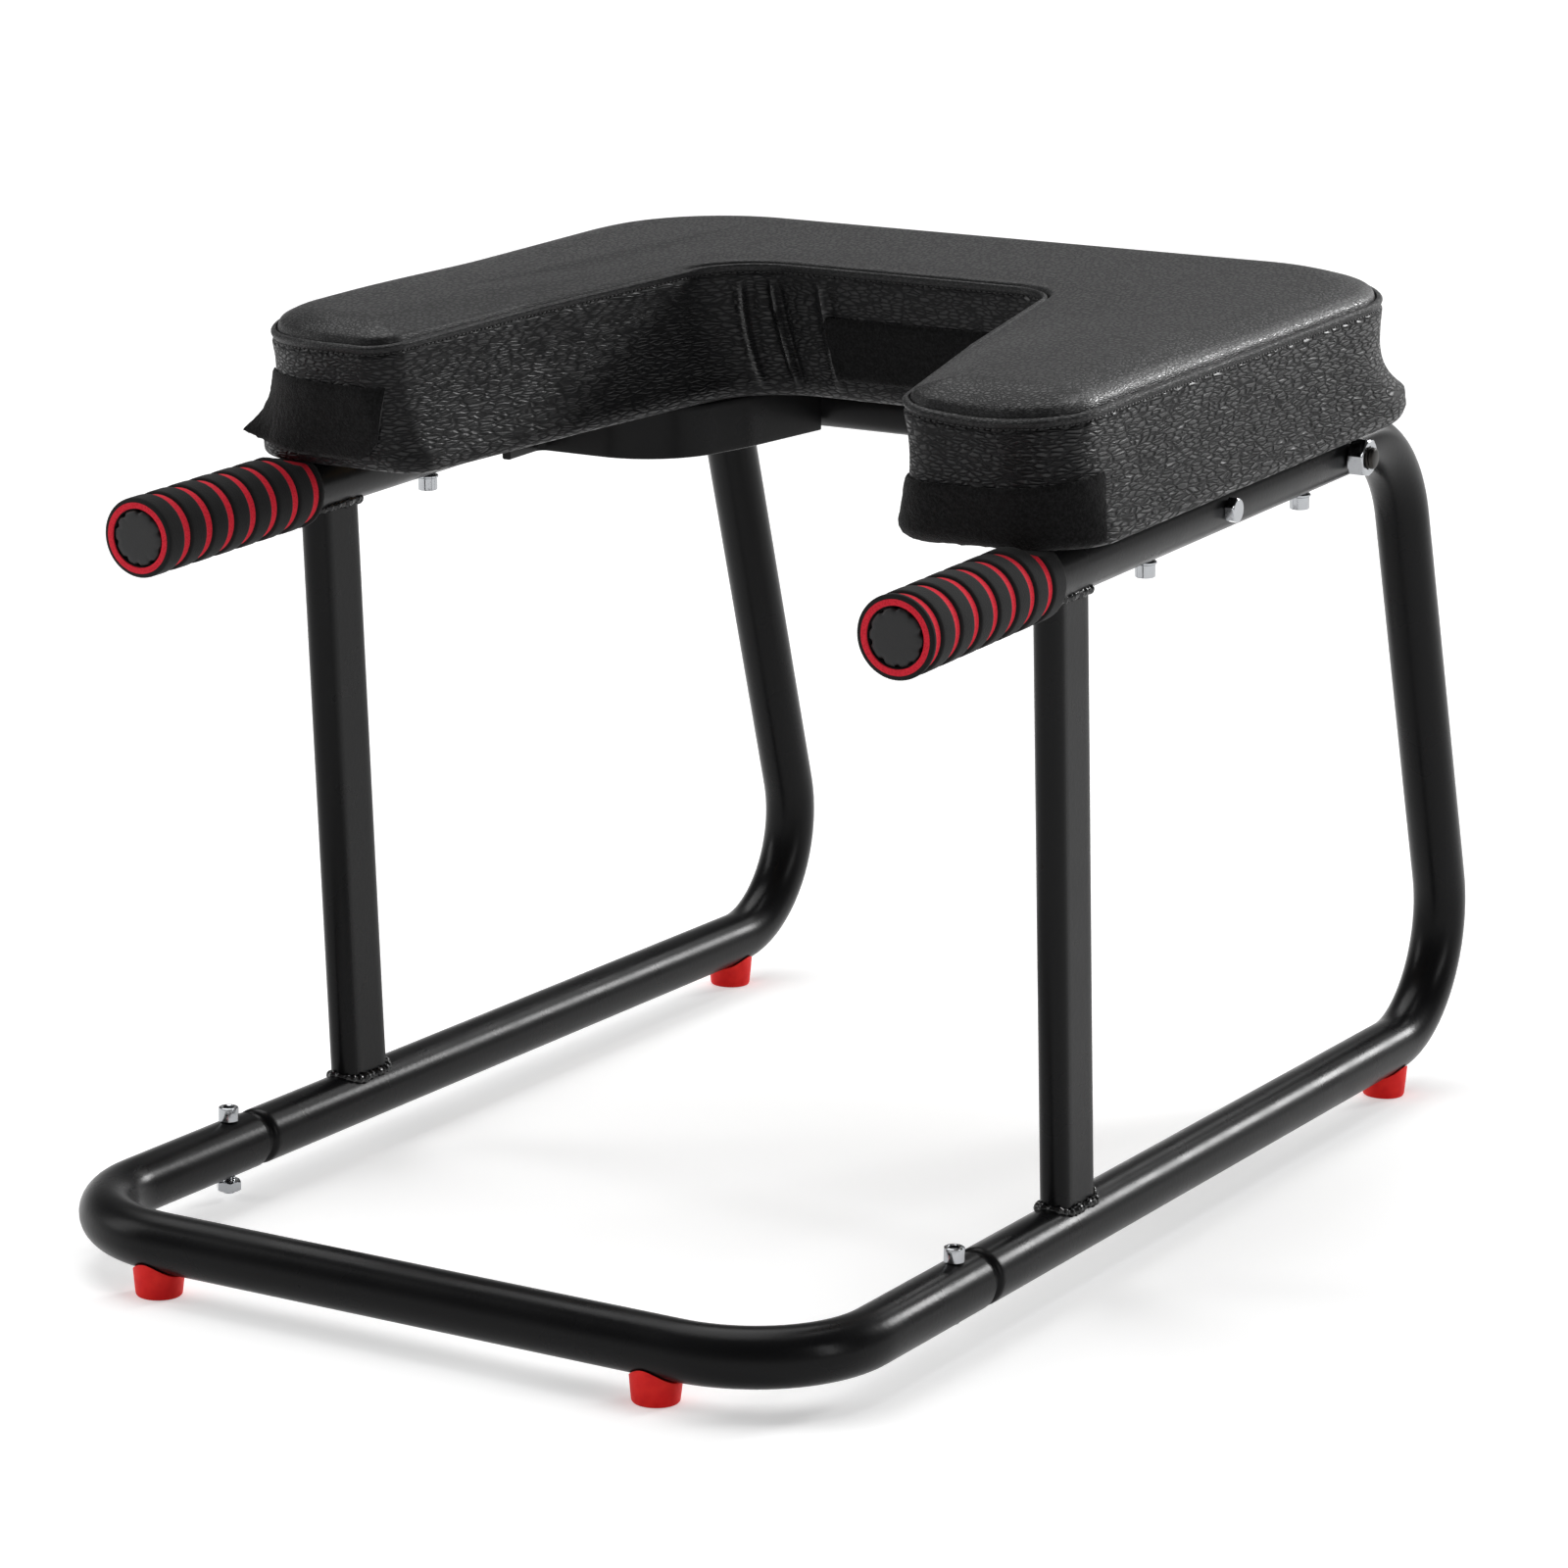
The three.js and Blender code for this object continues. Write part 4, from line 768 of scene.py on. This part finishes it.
def seat_panel(inset, extra=0.0):
    """Rows of the top panel: crown (1 - (1 - inset / shoulder) to the power 2.2), 2.8 mm more on the arms.

    extra is what each row lies higher than that."""
    plan = seat_plan(1.0, inset)
    full = 1 - np.clip(1 - np.asarray(inset)[:, None] / shoulder, 0, 1) ** 2.2
    top = crown + 2.8 * smooth((60 - plan[..., 1]) / 140) * smooth((np.abs(plan[..., 0]) - 100) / 40)
    height = seat_base + seam_h + seam_lift + (top - seam_lift) * full + np.reshape(extra, (-1, 1))
    return np.concatenate([plan, height[..., None]], axis=-1)


# Cross-section of the cover, from under the board, up the wall and over the lipped seam
hem = np.array([34.0, 26, 18, 10, 6.5])
roll_a = np.linspace(0, np.pi / 2, 7)[:-1]
under_inset = np.concatenate([hem, bottom_edge * (1 - np.sin(roll_a))])
under_high = np.concatenate([hem * 0, bottom_edge * (1 - np.cos(roll_a))])
under = seat_wall(under_high / seam_h, under_inset)
stitch_low = 3.4
below_seam = np.concatenate([np.linspace(51.0, 12, 24), [
    10.6, 9.3, 8.1, 7.0, 6.0, 5.2, 4.6, 4.1, 3.75, stitch_low, 3.1, 2.8, 2.3, 1.8, 1.4, 1.0, 0.6, 0.3]])
wall_h = 1 - below_seam / seam_h
wall = seat_wall(wall_h)
# How far the wall stands out: a rolled lip at the seam, a groove at the stitches, a puff below them
puff_low = [0, 0.3, 0.7, 1.2, 1.8, 2.3, 2.8, stitch_low, 4.1, 5.2, 7.5, 12, 20, 47, 50, 51]
puff_out = [0.1, 0.5, 0.8, 0.8, 0.6, 0.4, 0.1, -0.45, 0.1, 0.75, 0.6, 0.2, 0, 0, 0.5, 0.5]
puff = np.interp(below_seam, puff_low, puff_out)
# How high the panel lies over its crown: down into the groove beside the lip, then full
panel_inset = np.array([0.15, 0.6, 1.2, 1.7, 1.95, 2.2, 2.45, 2.7, 3.1, 3.7, 4.6, 6, 8, 10, 12.5, 15, 18,
                        21, 25, 29, 33, 37.5])
lip_inset = [0, 1.2, 1.7, 1.95, 2.2, 2.45, 2.7, 3.1, 3.7, 4.6, 8, 12]
lip_high = [0.3, -0.3, -0.6, -1.7, -2.5, -2.5, -1.5, -0.2, 0.5, 0.7, 0.2, 0]
panel = seat_panel(panel_inset, np.interp(panel_inset, lip_inset, lip_high))

# Slow unevenness of a cover stretched by hand: 14 waves of 5 to 59 turns round the seat, strongest at
# half height
run = seam_run[None]
random = np.random.default_rng(21)
out = np.broadcast_to(puff[:, None], wall.shape[:2]).copy()
for k in range(14):
    turns = random.integers(5, 60)
    height = random.uniform(0.02, 0.1) * 12 / (12 + turns)
    wave = np.sin(turns * run / seam_length * 2 * np.pi + random.uniform(0, 6.3))
    out += height * wave * np.sin(np.pi * wall_h)[:, None] ** 0.5 * 2
# Upright folds in the notch's rear left corner, where the wall panel is eased round a tight bend. Each
# is a hump with a hollow beside it, shifted as it goes down, and it fades at both ends.
fade = np.clip((below_seam - 5.5) / 6, 0, 1)[:, None]
fade = fade * np.clip((53 - below_seam) / 10, 0, 1)[:, None] ** 0.5
slide = (below_seam[:, None] - 5) / 52
crest = np.zeros_like(out)
for x, t, shift, high, wide in ((-81, 79, 1.0, 2.6, 2.4),
                                (-68, 86, -2.0, 2.8, 1.5),
                                (-42, 86, 1.0, 2.2, 1.8)):
    middle = run_at(x, t) - shift * slide
    crest = np.maximum(crest, fade * hump(run, middle, 0.6 * wide))
    out += fade * high * (hump(run, middle, wide) - 0.6 * hump(run, middle + 1.9 * wide, wide)
                          - 0.15 * hump(run, middle - 3 * wide, 2 * wide))
out_way = np.concatenate([seam_out, np.zeros((len(seam_out), 1))], axis=-1)
wall = wall + out[..., None] * out_way
# Short gathers square to the seam, on the front edges of both arms and round their corners
gather = np.zeros(len(seam_run))
for x, t, width in ((-158, -152, 44), (156, -150, 30), (-198, -135, 16), (128, -148, 16)):
    gather = np.maximum(gather, hump(seam_run, run_at(x, t), width))
wander = 0.8 * np.sin(seam_run / 9.1) + 0.5 * np.sin(seam_run / 4.7 + 1)
ripple = np.cos(2 * np.pi * seam_run / 5.2 + wander) * (0.7 + 0.3 * np.sin(seam_run / 13))
fall = np.interp(panel_inset, [2.5, 4.5, 10, 15], [0.0, 1.0, 0.5, 0])
panel[..., 2] += 0.4 * fall[:, None] * (gather * ripple)

# The cover's inner side: 3 mm under the panel, 4 mm inside the wall, and along the top of the hem
hem_top = np.full((2, len(seam_ring), 1), seat_base + 1.5)
lining = np.concatenate([seat_panel(np.array([30.5, 16.5, 8.5, 4.5]), -3.0),
                         seat_wall(np.array([0.92, 0.62, 0.4, 0.25, 0.15]), 4.0),
                         np.concatenate([seat_plan(0.1, [8.0, 34]), hem_top], axis=-1)])
cover_rows = np.concatenate([lining, under, wall, panel])
# The lip and the strip down to the stitches are of the panel's smooth leather
below = len(lining) + len(under) + len(wall) - 1
strip = int((below_seam < stitch_low - 0.2).sum())
cover_looks = [0] * (below - strip) + [1] * (strip + len(panel))


def leather(name, cell, depth, coarse, rough_low, rough_high, low_shine, high_shine):
    """PU leather: pebbles, the cells of that size, between creases of that depth in metres.

    The cells are warped by 1.2 mm and lie flat, and longer soft creases of the coarse size go over
    them. Pebbles have the low roughness and the high shine, creases the reverse. Round the head
    opening, within 120 mm of the middle, the cover is stretched and the creases are 0.35 as deep."""
    finish, shader, where = new_finish(name, {"IOR": 1.5})
    sway = put(finish, "ShaderNodeTexNoise", {"Vector": where, "Scale": 1 / 0.007, "Detail": 1.0})
    warp = put(finish, "ShaderNodeVectorMath", {0: sway.outputs["Color"], 1: (0.0012, 0.0012, 0.0012)},
               operation="MULTIPLY")
    moved = put(finish, "ShaderNodeVectorMath", {0: warp.outputs[0], 1: where}, operation="ADD")
    flat = put(finish, "ShaderNodeVectorMath", {0: moved.outputs[0], 1: (1.0, 0.55, 2.8)},
               operation="MULTIPLY")
    grain = put(finish, "ShaderNodeTexVoronoi", {"Vector": flat.outputs[0], "Scale": 1 / cell},
                feature="DISTANCE_TO_EDGE")
    pebble = put(finish, "ShaderNodeMapRange",
                 {"Value": grain.outputs["Distance"], "From Min": 0.0, "From Max": 0.3},
                 interpolation_type="SMOOTHSTEP")
    # Painted shade: the creases between the pebbles are coloured darker than the pebbles' tops
    shades(finish, shader, pebble.outputs["Result"], "#121213", "#19191a")
    long_way = put(finish, "ShaderNodeMapping",
                   {"Vector": moved.outputs[0], "Rotation": (0, 0, 0.9), "Scale": (1.0, 0.12, 1.0)})
    crease = noise(finish, long_way.outputs["Vector"], coarse, 1.0)
    place = put(finish, "ShaderNodeSeparateXYZ", {"Vector": where})
    aside = put(finish, "ShaderNodeMath", {0: place.outputs["X"]}, operation="ABSOLUTE")
    deep = put(finish, "ShaderNodeMapRange", {
        "Value": aside.outputs[0], "From Min": 0.12, "From Max": 0.19,
        "To Min": 0.35 * depth, "To Max": depth})
    fine = put(finish, "ShaderNodeBump",
               {"Height": pebble.outputs["Result"], "Strength": 1.0, "Distance": deep.outputs["Result"]})
    both = put(finish, "ShaderNodeBump", {
        "Height": crease, "Strength": 0.5, "Distance": 0.0012, "Normal": fine.outputs["Normal"]})
    gloss = put(finish, "ShaderNodeMapRange",
                {"Value": pebble.outputs["Result"], "To Min": rough_high, "To Max": rough_low})
    hollow = put(finish, "ShaderNodeMapRange",
                 {"Value": pebble.outputs["Result"], "To Min": low_shine, "To Max": high_shine})
    tight = put(finish, "ShaderNodeAttribute", attribute_name="stretched").outputs["Fac"]
    sleek = put(finish, "ShaderNodeMath", {0: tight, 1: -0.12, 2: gloss.outputs["Result"]},
                operation="MULTIPLY_ADD")
    shine = put(finish, "ShaderNodeMath", {0: tight, 1: 0.5, 2: hollow.outputs["Result"]},
                operation="MULTIPLY_ADD")
    wire(finish, sleek.outputs[0], shader.inputs["Roughness"])
    wire(finish, shine.outputs[0], shader.inputs["Specular IOR Level"])
    wire(finish, both.outputs["Normal"], shader.inputs["Normal"])
    return finish


# Grained PU leather, embossed from a roller: flat pebbles 2 to 4 mm long, creases between them. The
# wall's grain is deep and catches small lights; the top's is finer and flat, so it looks matt.
wall_leather = leather("grained_pu_leather", 0.0046, 0.0007, 0.02, 0.36, 0.56, 0.13, 0.3)
top_leather = leather("smooth_pu_leather", 0.0022, 0.00014, 0.03, 0.43, 0.54, 0.2, 0.36)

# The skin is stretched and polished along the folds' crests and the shoulders of the outer sides
shoulders = smooth((np.abs(seam_out[:, 0]) - 0.75) / 0.2) * (1 - opening)
stretched = np.zeros(cover_rows.shape[:2])
stretched[below + 1 - len(wall):below + 1] = crest
stretched[below + 1:] = np.interp(panel_inset, [2.6, 3.4, 6.5, 10], [0, 1, 0.7, 0])[:, None] * shoulders
cover = skin("seat_sewn_cover", on_deck(cover_rows), [wall_leather, top_leather],
             row_look=cover_looks, sharp=70)
cover.data.attributes.new("stretched", "FLOAT", "POINT").data.foreach_set("value", stretched.ravel())
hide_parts("seat_cover")

# The foam block under the cover: yellow upholstery foam, cut with a hot wire, held clear of the folds
foam_yellow, shader, where = new_finish("polyurethane_upholstery_foam", {"Roughness": 1.0})
shades(foam_yellow, shader, cells(foam_yellow, where, 0.0012), "#bfb27c", "#ded3a2")
foam_rows = np.concatenate([seat_wall(np.array([0.26, 0.4, 0.62, 0.92]), 5.0),
                            seat_panel(np.array([8.0, 14, 20, 30]), -5.0)])
foam = skin("seat_foam_block", on_deck(foam_rows[:, ::3]), [foam_yellow])
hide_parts("seat_foam")

# Lock stitches of black bonded polyester thread, 0.8 mm thick and 2.7 mm apart, in the groove below
# the seam. The thread is smooth and a little shiny, so each stitch catches a small light.
stitch_pitch = 2.7
thread_black, shader, where = new_finish("bonded_polyester_thread", {
    "Base Color": linear("#0e0e0f"), "Roughness": 0.45, "IOR": 1.5})
twist = put(thread_black, "ShaderNodeTexWave", {"Vector": where, "Scale": 1 / 0.0016, "Distortion": 1.0})
relief(thread_black, shader, twist.outputs["Fac"], 0.5, 0.0001)
row = int(np.argmin(np.abs(below_seam - stitch_low)))
groove_line = np.concatenate([wall[row], wall[row][:1]])
groove_run = np.concatenate([[0], np.cumsum(np.linalg.norm(np.diff(groove_line, axis=0), axis=1))])
count = int(groove_run[-1] / stitch_pitch)
places = (np.arange(count) + 0.5) / count * groove_run[-1]


def groove_at(far):
    """Points of the groove at those distances along it, going round."""
    far = far % groove_run[-1]
    return np.stack([np.interp(far, groove_run, groove_line[:, i]) for i in range(3)], axis=-1)


# Every stitch is six rings of six points: middle + way u + fat (outward cos a + upward sin a)
middle = groove_at(places)
way = groove_at(places + 1) - groove_at(places - 1)
way /= np.linalg.norm(way, axis=1)[:, None]
outward = np.stack([way[:, 1], -way[:, 0], 0 * way[:, 0]], axis=-1)
upward = np.cross(way, outward)
u = np.array([-1.05, -0.85, -0.4, 0.4, 0.85, 1.05])
fat = np.array([0.15, 0.34, 0.42, 0.42, 0.34, 0.15])
stitch_sides = 6
a = angles(stitch_sides)
stand_out = 0.12 + 0.08 * np.cos(u)[:, None, None] + (fat[:, None] * np.cos(a))[..., None]
stitch = (middle[:, None, None] + way[:, None, None] * u[:, None, None]
          + outward[:, None, None] * stand_out
          + upward[:, None, None] * (fat[:, None] * np.sin(a))[..., None])
index = np.arange(len(u) * stitch_sides).reshape(len(u), stitch_sides)
beside = np.roll(index, -1, axis=1)
quads = np.stack([index[:-1], beside[:-1], beside[1:], index[1:]], axis=-1).reshape(1, -1, 4)
first_point = index.size * np.arange(count)
quads = (quads + first_point[:, None, None]).reshape(-1, 4).tolist()
ends = (first_point[:, None] + index[0][::-1]).tolist() + (first_point[:, None] + index[-1]).tolist()
mesh = bpy.data.meshes.new("seat_stitches")
mesh.from_pydata((on_deck(stitch.reshape(-1, 3)) * 0.001).tolist(), [], quads + ends)
mesh.materials.append(thread_black)
mesh.polygons.foreach_set("use_smooth", [True] * len(mesh.polygons))
stitches = bpy.data.objects.new("seat_stitches", mesh)
bpy.context.scene.collection.objects.link(stitches)
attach(stitches, "root")

# Loop-fastener patches
# Woven loop tape, the soft half of hook-and-loop, sewn flat on the walls: two on the arms' fronts
# and one in the head opening. The left one's outer corner has come loose and curls outwards.
patch_rows, fuzz_height, curl_length = 22, 0.13, 18
lowest_h, rows_per_seam = -0.1, 60

# Brushed nylon loops of about 1 mm, drawn as noise of that size: dull, darker than the leather, with a faint
# sheen at the edges of view. The same noise paints the loops' tops lighter and the gaps between them darker,
# as painted sheen and shade.
loop_pile, shader, where = new_finish("brushed_nylon_loop_pile", {
    "Roughness": 1.0, "Specular IOR Level": 0.2, "Sheen Weight": 0.12, "Sheen Roughness": 0.4})
tufts = noise(loop_pile, where, 0.0013, 4.0, rough=0.7)
# Painted sheen and shade: colour lighter where the noise bumps up and darker where it dips
shades(loop_pile, shader, tufts, "#060606", "#1d1d1e", 0.42, 0.68)
relief(loop_pile, shader, tufts, 1.0, 0.0006)

# Each patch: the first and last point of its top edge, how far the lower corners are moved along, the
# lower and upper edge's heights over the seat's base at both ends, the rounding of its first lower
# corner, and how far that corner curls, from 0 to 1
for name, from_xt, to_xt, slant, low_ends, high_ends, corner_r, curl in (
        ("left", (-193, -130), (-121, -151), (0, -17), (8, 5), (40, 39), 0, 1),
        ("right", (121, -128), (203, -116), (0, -14), (-3.0, 1.8), (24, 30.5), 8, 0),
        ("rear", (-42, 86), (46, 86), (0, 0), (9, 9), (36, 36), 0, 0)):
    start, stop = run_at(*from_xt), run_at(*to_xt)
    along = np.linspace(0, 1, int((stop - start) / seat_step))
    up = np.linspace(0, 1, patch_rows)[:, None]
    low, high = [ends[0] + (ends[1] - ends[0]) * along for ends in (low_ends, high_ends)]
    low += corner_r - np.sqrt(corner_r ** 2 - np.clip(corner_r - along * (stop - start), 0, None) ** 2)
    up_h = low + up * (high - low)
    runs = start + slant[0] * (1 - up) + (stop - start + (slant[1] - slant[0]) * (1 - up)) * along
    # The patch lies 0.5 mm off the wall. Its points are read between the wall's rows and columns.
    row_h = np.linspace(lowest_h, 0.75, 52)
    round_edge = np.clip(1 - row_h * seam_h / bottom_edge, 0, 1.5)
    rows = seat_wall(np.clip(row_h, 0, 1), -0.5 + 2.5 * round_edge ** 2)
    rows[..., 2] += np.minimum(row_h, 0)[:, None] * seam_h
    column = np.interp(runs, seam_run, np.arange(len(seam_run)))
    row = (up_h / seam_h - lowest_h) * rows_per_seam
    low_c, low_r = column.astype(int), row.astype(int)
    part_c, part_r = (column - low_c)[..., None], (row - low_r)[..., None]
    front = ((1 - part_c) * (1 - part_r) * rows[low_r, low_c]
             + part_c * (1 - part_r) * rows[low_r, low_c + 1]
             + (1 - part_c) * part_r * rows[low_r + 1, low_c]
             + part_c * part_r * rows[low_r + 1, low_c + 1])
    columns = low_c[-1]
    loose = curl * np.clip(1 - (runs - start) / curl_length, 0, 1) ** 1.6
    hang = (1 - up) ** 2.7
    front = front + (loose * 9.5 * hang)[..., None] * out_way[columns]
    front[..., 2] += loose * 3 * hang
    random = np.random.default_rng(len(columns))
    fuzz = random.normal(0, fuzz_height, front.shape[:2])
    fuzz[[0, -1]] *= 0.3
    pile = 1.5 - 1.2 * np.abs(np.linspace(-1, 1, patch_rows))[:, None] ** 12
    face = front + (pile + fuzz)[..., None] * out_way[columns]
    face[[0, -1], :, 2] += random.normal(0, 0.18, len(columns))
    back = front - 0.2 * out_way[columns]
    ring = np.concatenate([face, back[::-1]])
    patch = np.swapaxes(ring, 0, 1)[:, ::-1]
    piece = skin(f"{name}_loop_fastener", on_deck(patch), [loop_pile], sharp=80)
    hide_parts(f"{name}_loop_patch")

# Studio
# A pale seamless floor under soft light from above, the left and behind, as for a catalogue
# picture. The camera stands where the photograph's stood, worked out from the frame's tubes.
bpy.ops.mesh.primitive_plane_add(size=60, location=(0, 0, -0.0002))
floor = bpy.context.object
floor.name = "studio_floor"
# Matt white paper. It also glows faintly to what looks at it, so it goes over to the white world.
paper, shader, where = new_finish("white_studio_paper")
paper.node_tree.nodes.remove(shader)
ray = put(paper, "ShaderNodeLightPath").outputs
seen = put(paper, "ShaderNodeMath", {0: ray["Is Camera Ray"], 1: ray["Is Glossy Ray"]}, operation="MAXIMUM")
seen = put(paper, "ShaderNodeMath", {0: seen.outputs[0], 1: ray["Is Transmission Ray"]}, operation="MAXIMUM")
diffuse = put(paper, "ShaderNodeBsdfDiffuse", {"Color": (0.8, 0.8, 0.8, 1)})
glow = put(paper, "ShaderNodeEmission", {"Color": (1, 1, 1, 1), "Strength": 0.42})
both = put(paper, "ShaderNodeAddShader", {0: diffuse.outputs[0], 1: glow.outputs[0]})
choice = put(paper, "ShaderNodeMixShader", {0: seen.outputs[0], 1: diffuse.outputs[0], 2: both.outputs[0]})
wire(paper, choice.outputs[0], paper.node_tree.nodes["Material Output"].inputs["Surface"])
floor.data.materials.append(paper)

# The room: bright near the floor, dark overhead, and half as bright on the right
world = bpy.context.scene.world or bpy.data.worlds.new("studio")
bpy.context.scene.world = world
world.use_nodes = True
world.node_tree.nodes.clear()
direction = put(world, "ShaderNodeTexCoord")
split = put(world, "ShaderNodeSeparateXYZ", {"Vector": direction.outputs["Generated"]})
ramp = put(world, "ShaderNodeValToRGB", {"Fac": split.outputs["Z"]})
ramp.color_ramp.elements[0].position, ramp.color_ramp.elements[0].color = 0.04, (0.9, 0.9, 0.9, 1)
ramp.color_ramp.elements[1].position, ramp.color_ramp.elements[1].color = 0.35, (0.12, 0.12, 0.12, 1)
dim = put(world, "ShaderNodeMapRange",
          {"Value": split.outputs["X"], "From Min": 0.2, "From Max": 0.7, "To Min": 1.0, "To Max": 0.5})
background = put(world, "ShaderNodeBackground",
                 {"Color": ramp.outputs["Color"], "Strength": dim.outputs["Result"]})
put(world, "ShaderNodeOutputWorld", {"Surface": background.outputs["Background"]})


def softbox(name, place, aim, width, height, power):
    """A rectangular lamp at a place, facing a point."""
    lamp = bpy.data.lights.new(name, "AREA")
    lamp.shape, lamp.size, lamp.size_y, lamp.energy = "RECTANGLE", width, height, power
    box = bpy.data.objects.new(name, lamp)
    box.location = place
    box.rotation_euler = (Vector(aim) - Vector(place)).to_track_quat("-Z", "Y").to_euler()
    bpy.context.scene.collection.objects.link(box)


def sun(name, power, spread, way):
    """A far lamp that shines along way from a disc of so many degrees."""
    lamp = bpy.data.lights.new(name, "SUN")
    lamp.energy, lamp.angle = power, np.radians(spread)
    holder = bpy.data.objects.new(name, lamp)
    holder.rotation_euler = Vector(way).to_track_quat("-Z", "Y").to_euler()
    bpy.context.scene.collection.objects.link(holder)


sun("ceiling_diffuser", 1.9, 50, (0.25, -0.35, -1))
sun("rear_window", 1.3, 12, (-0.35, -0.86, -0.36))
softbox("left_softbox", (-2.4, -1.2, 1.5), (0, 0, 0.2), 1.0, 1.8, 22)
softbox("right_softbox", (2.6, -0.4, 1.1), (0, 0, 0.2), 0.4, 1.4, 12)
softbox("rear_softbox", (0.1, 2.6, 1.8), (0, 0, 0.35), 1.2, 0.5, 8)

# The camera's place in metres, its turns in radians, and its focal length in the photograph's pixels
eye = np.array([1.1513, -2.02905, 0.7148])
yaw, pitch, roll = 0.51923, 0.22715, 0.01896
focal_px, photo_px, sensor_width = 5467.1, 1600, 36.0
ahead = np.array([-np.sin(yaw) * np.cos(pitch), np.cos(yaw) * np.cos(pitch), -np.sin(pitch)])
right = np.array([np.cos(yaw), np.sin(yaw), 0])
above = np.cross(right, ahead)
right, above = np.cos(roll) * right + np.sin(roll) * above, -np.sin(roll) * right + np.cos(roll) * above
camera = bpy.data.objects.new("camera", bpy.data.cameras.new("camera"))
camera.data.sensor_width, camera.data.lens = sensor_width, focal_px / photo_px * sensor_width
camera.data.clip_end = 100
camera.matrix_world = Matrix([*np.column_stack([right, above, -ahead, eye]).tolist(), [0, 0, 0, 1]])
bpy.context.scene.collection.objects.link(camera)
bpy.context.scene.camera = camera
bpy.context.scene.view_settings.view_transform = "Standard"

bpy.context.view_layer.update()
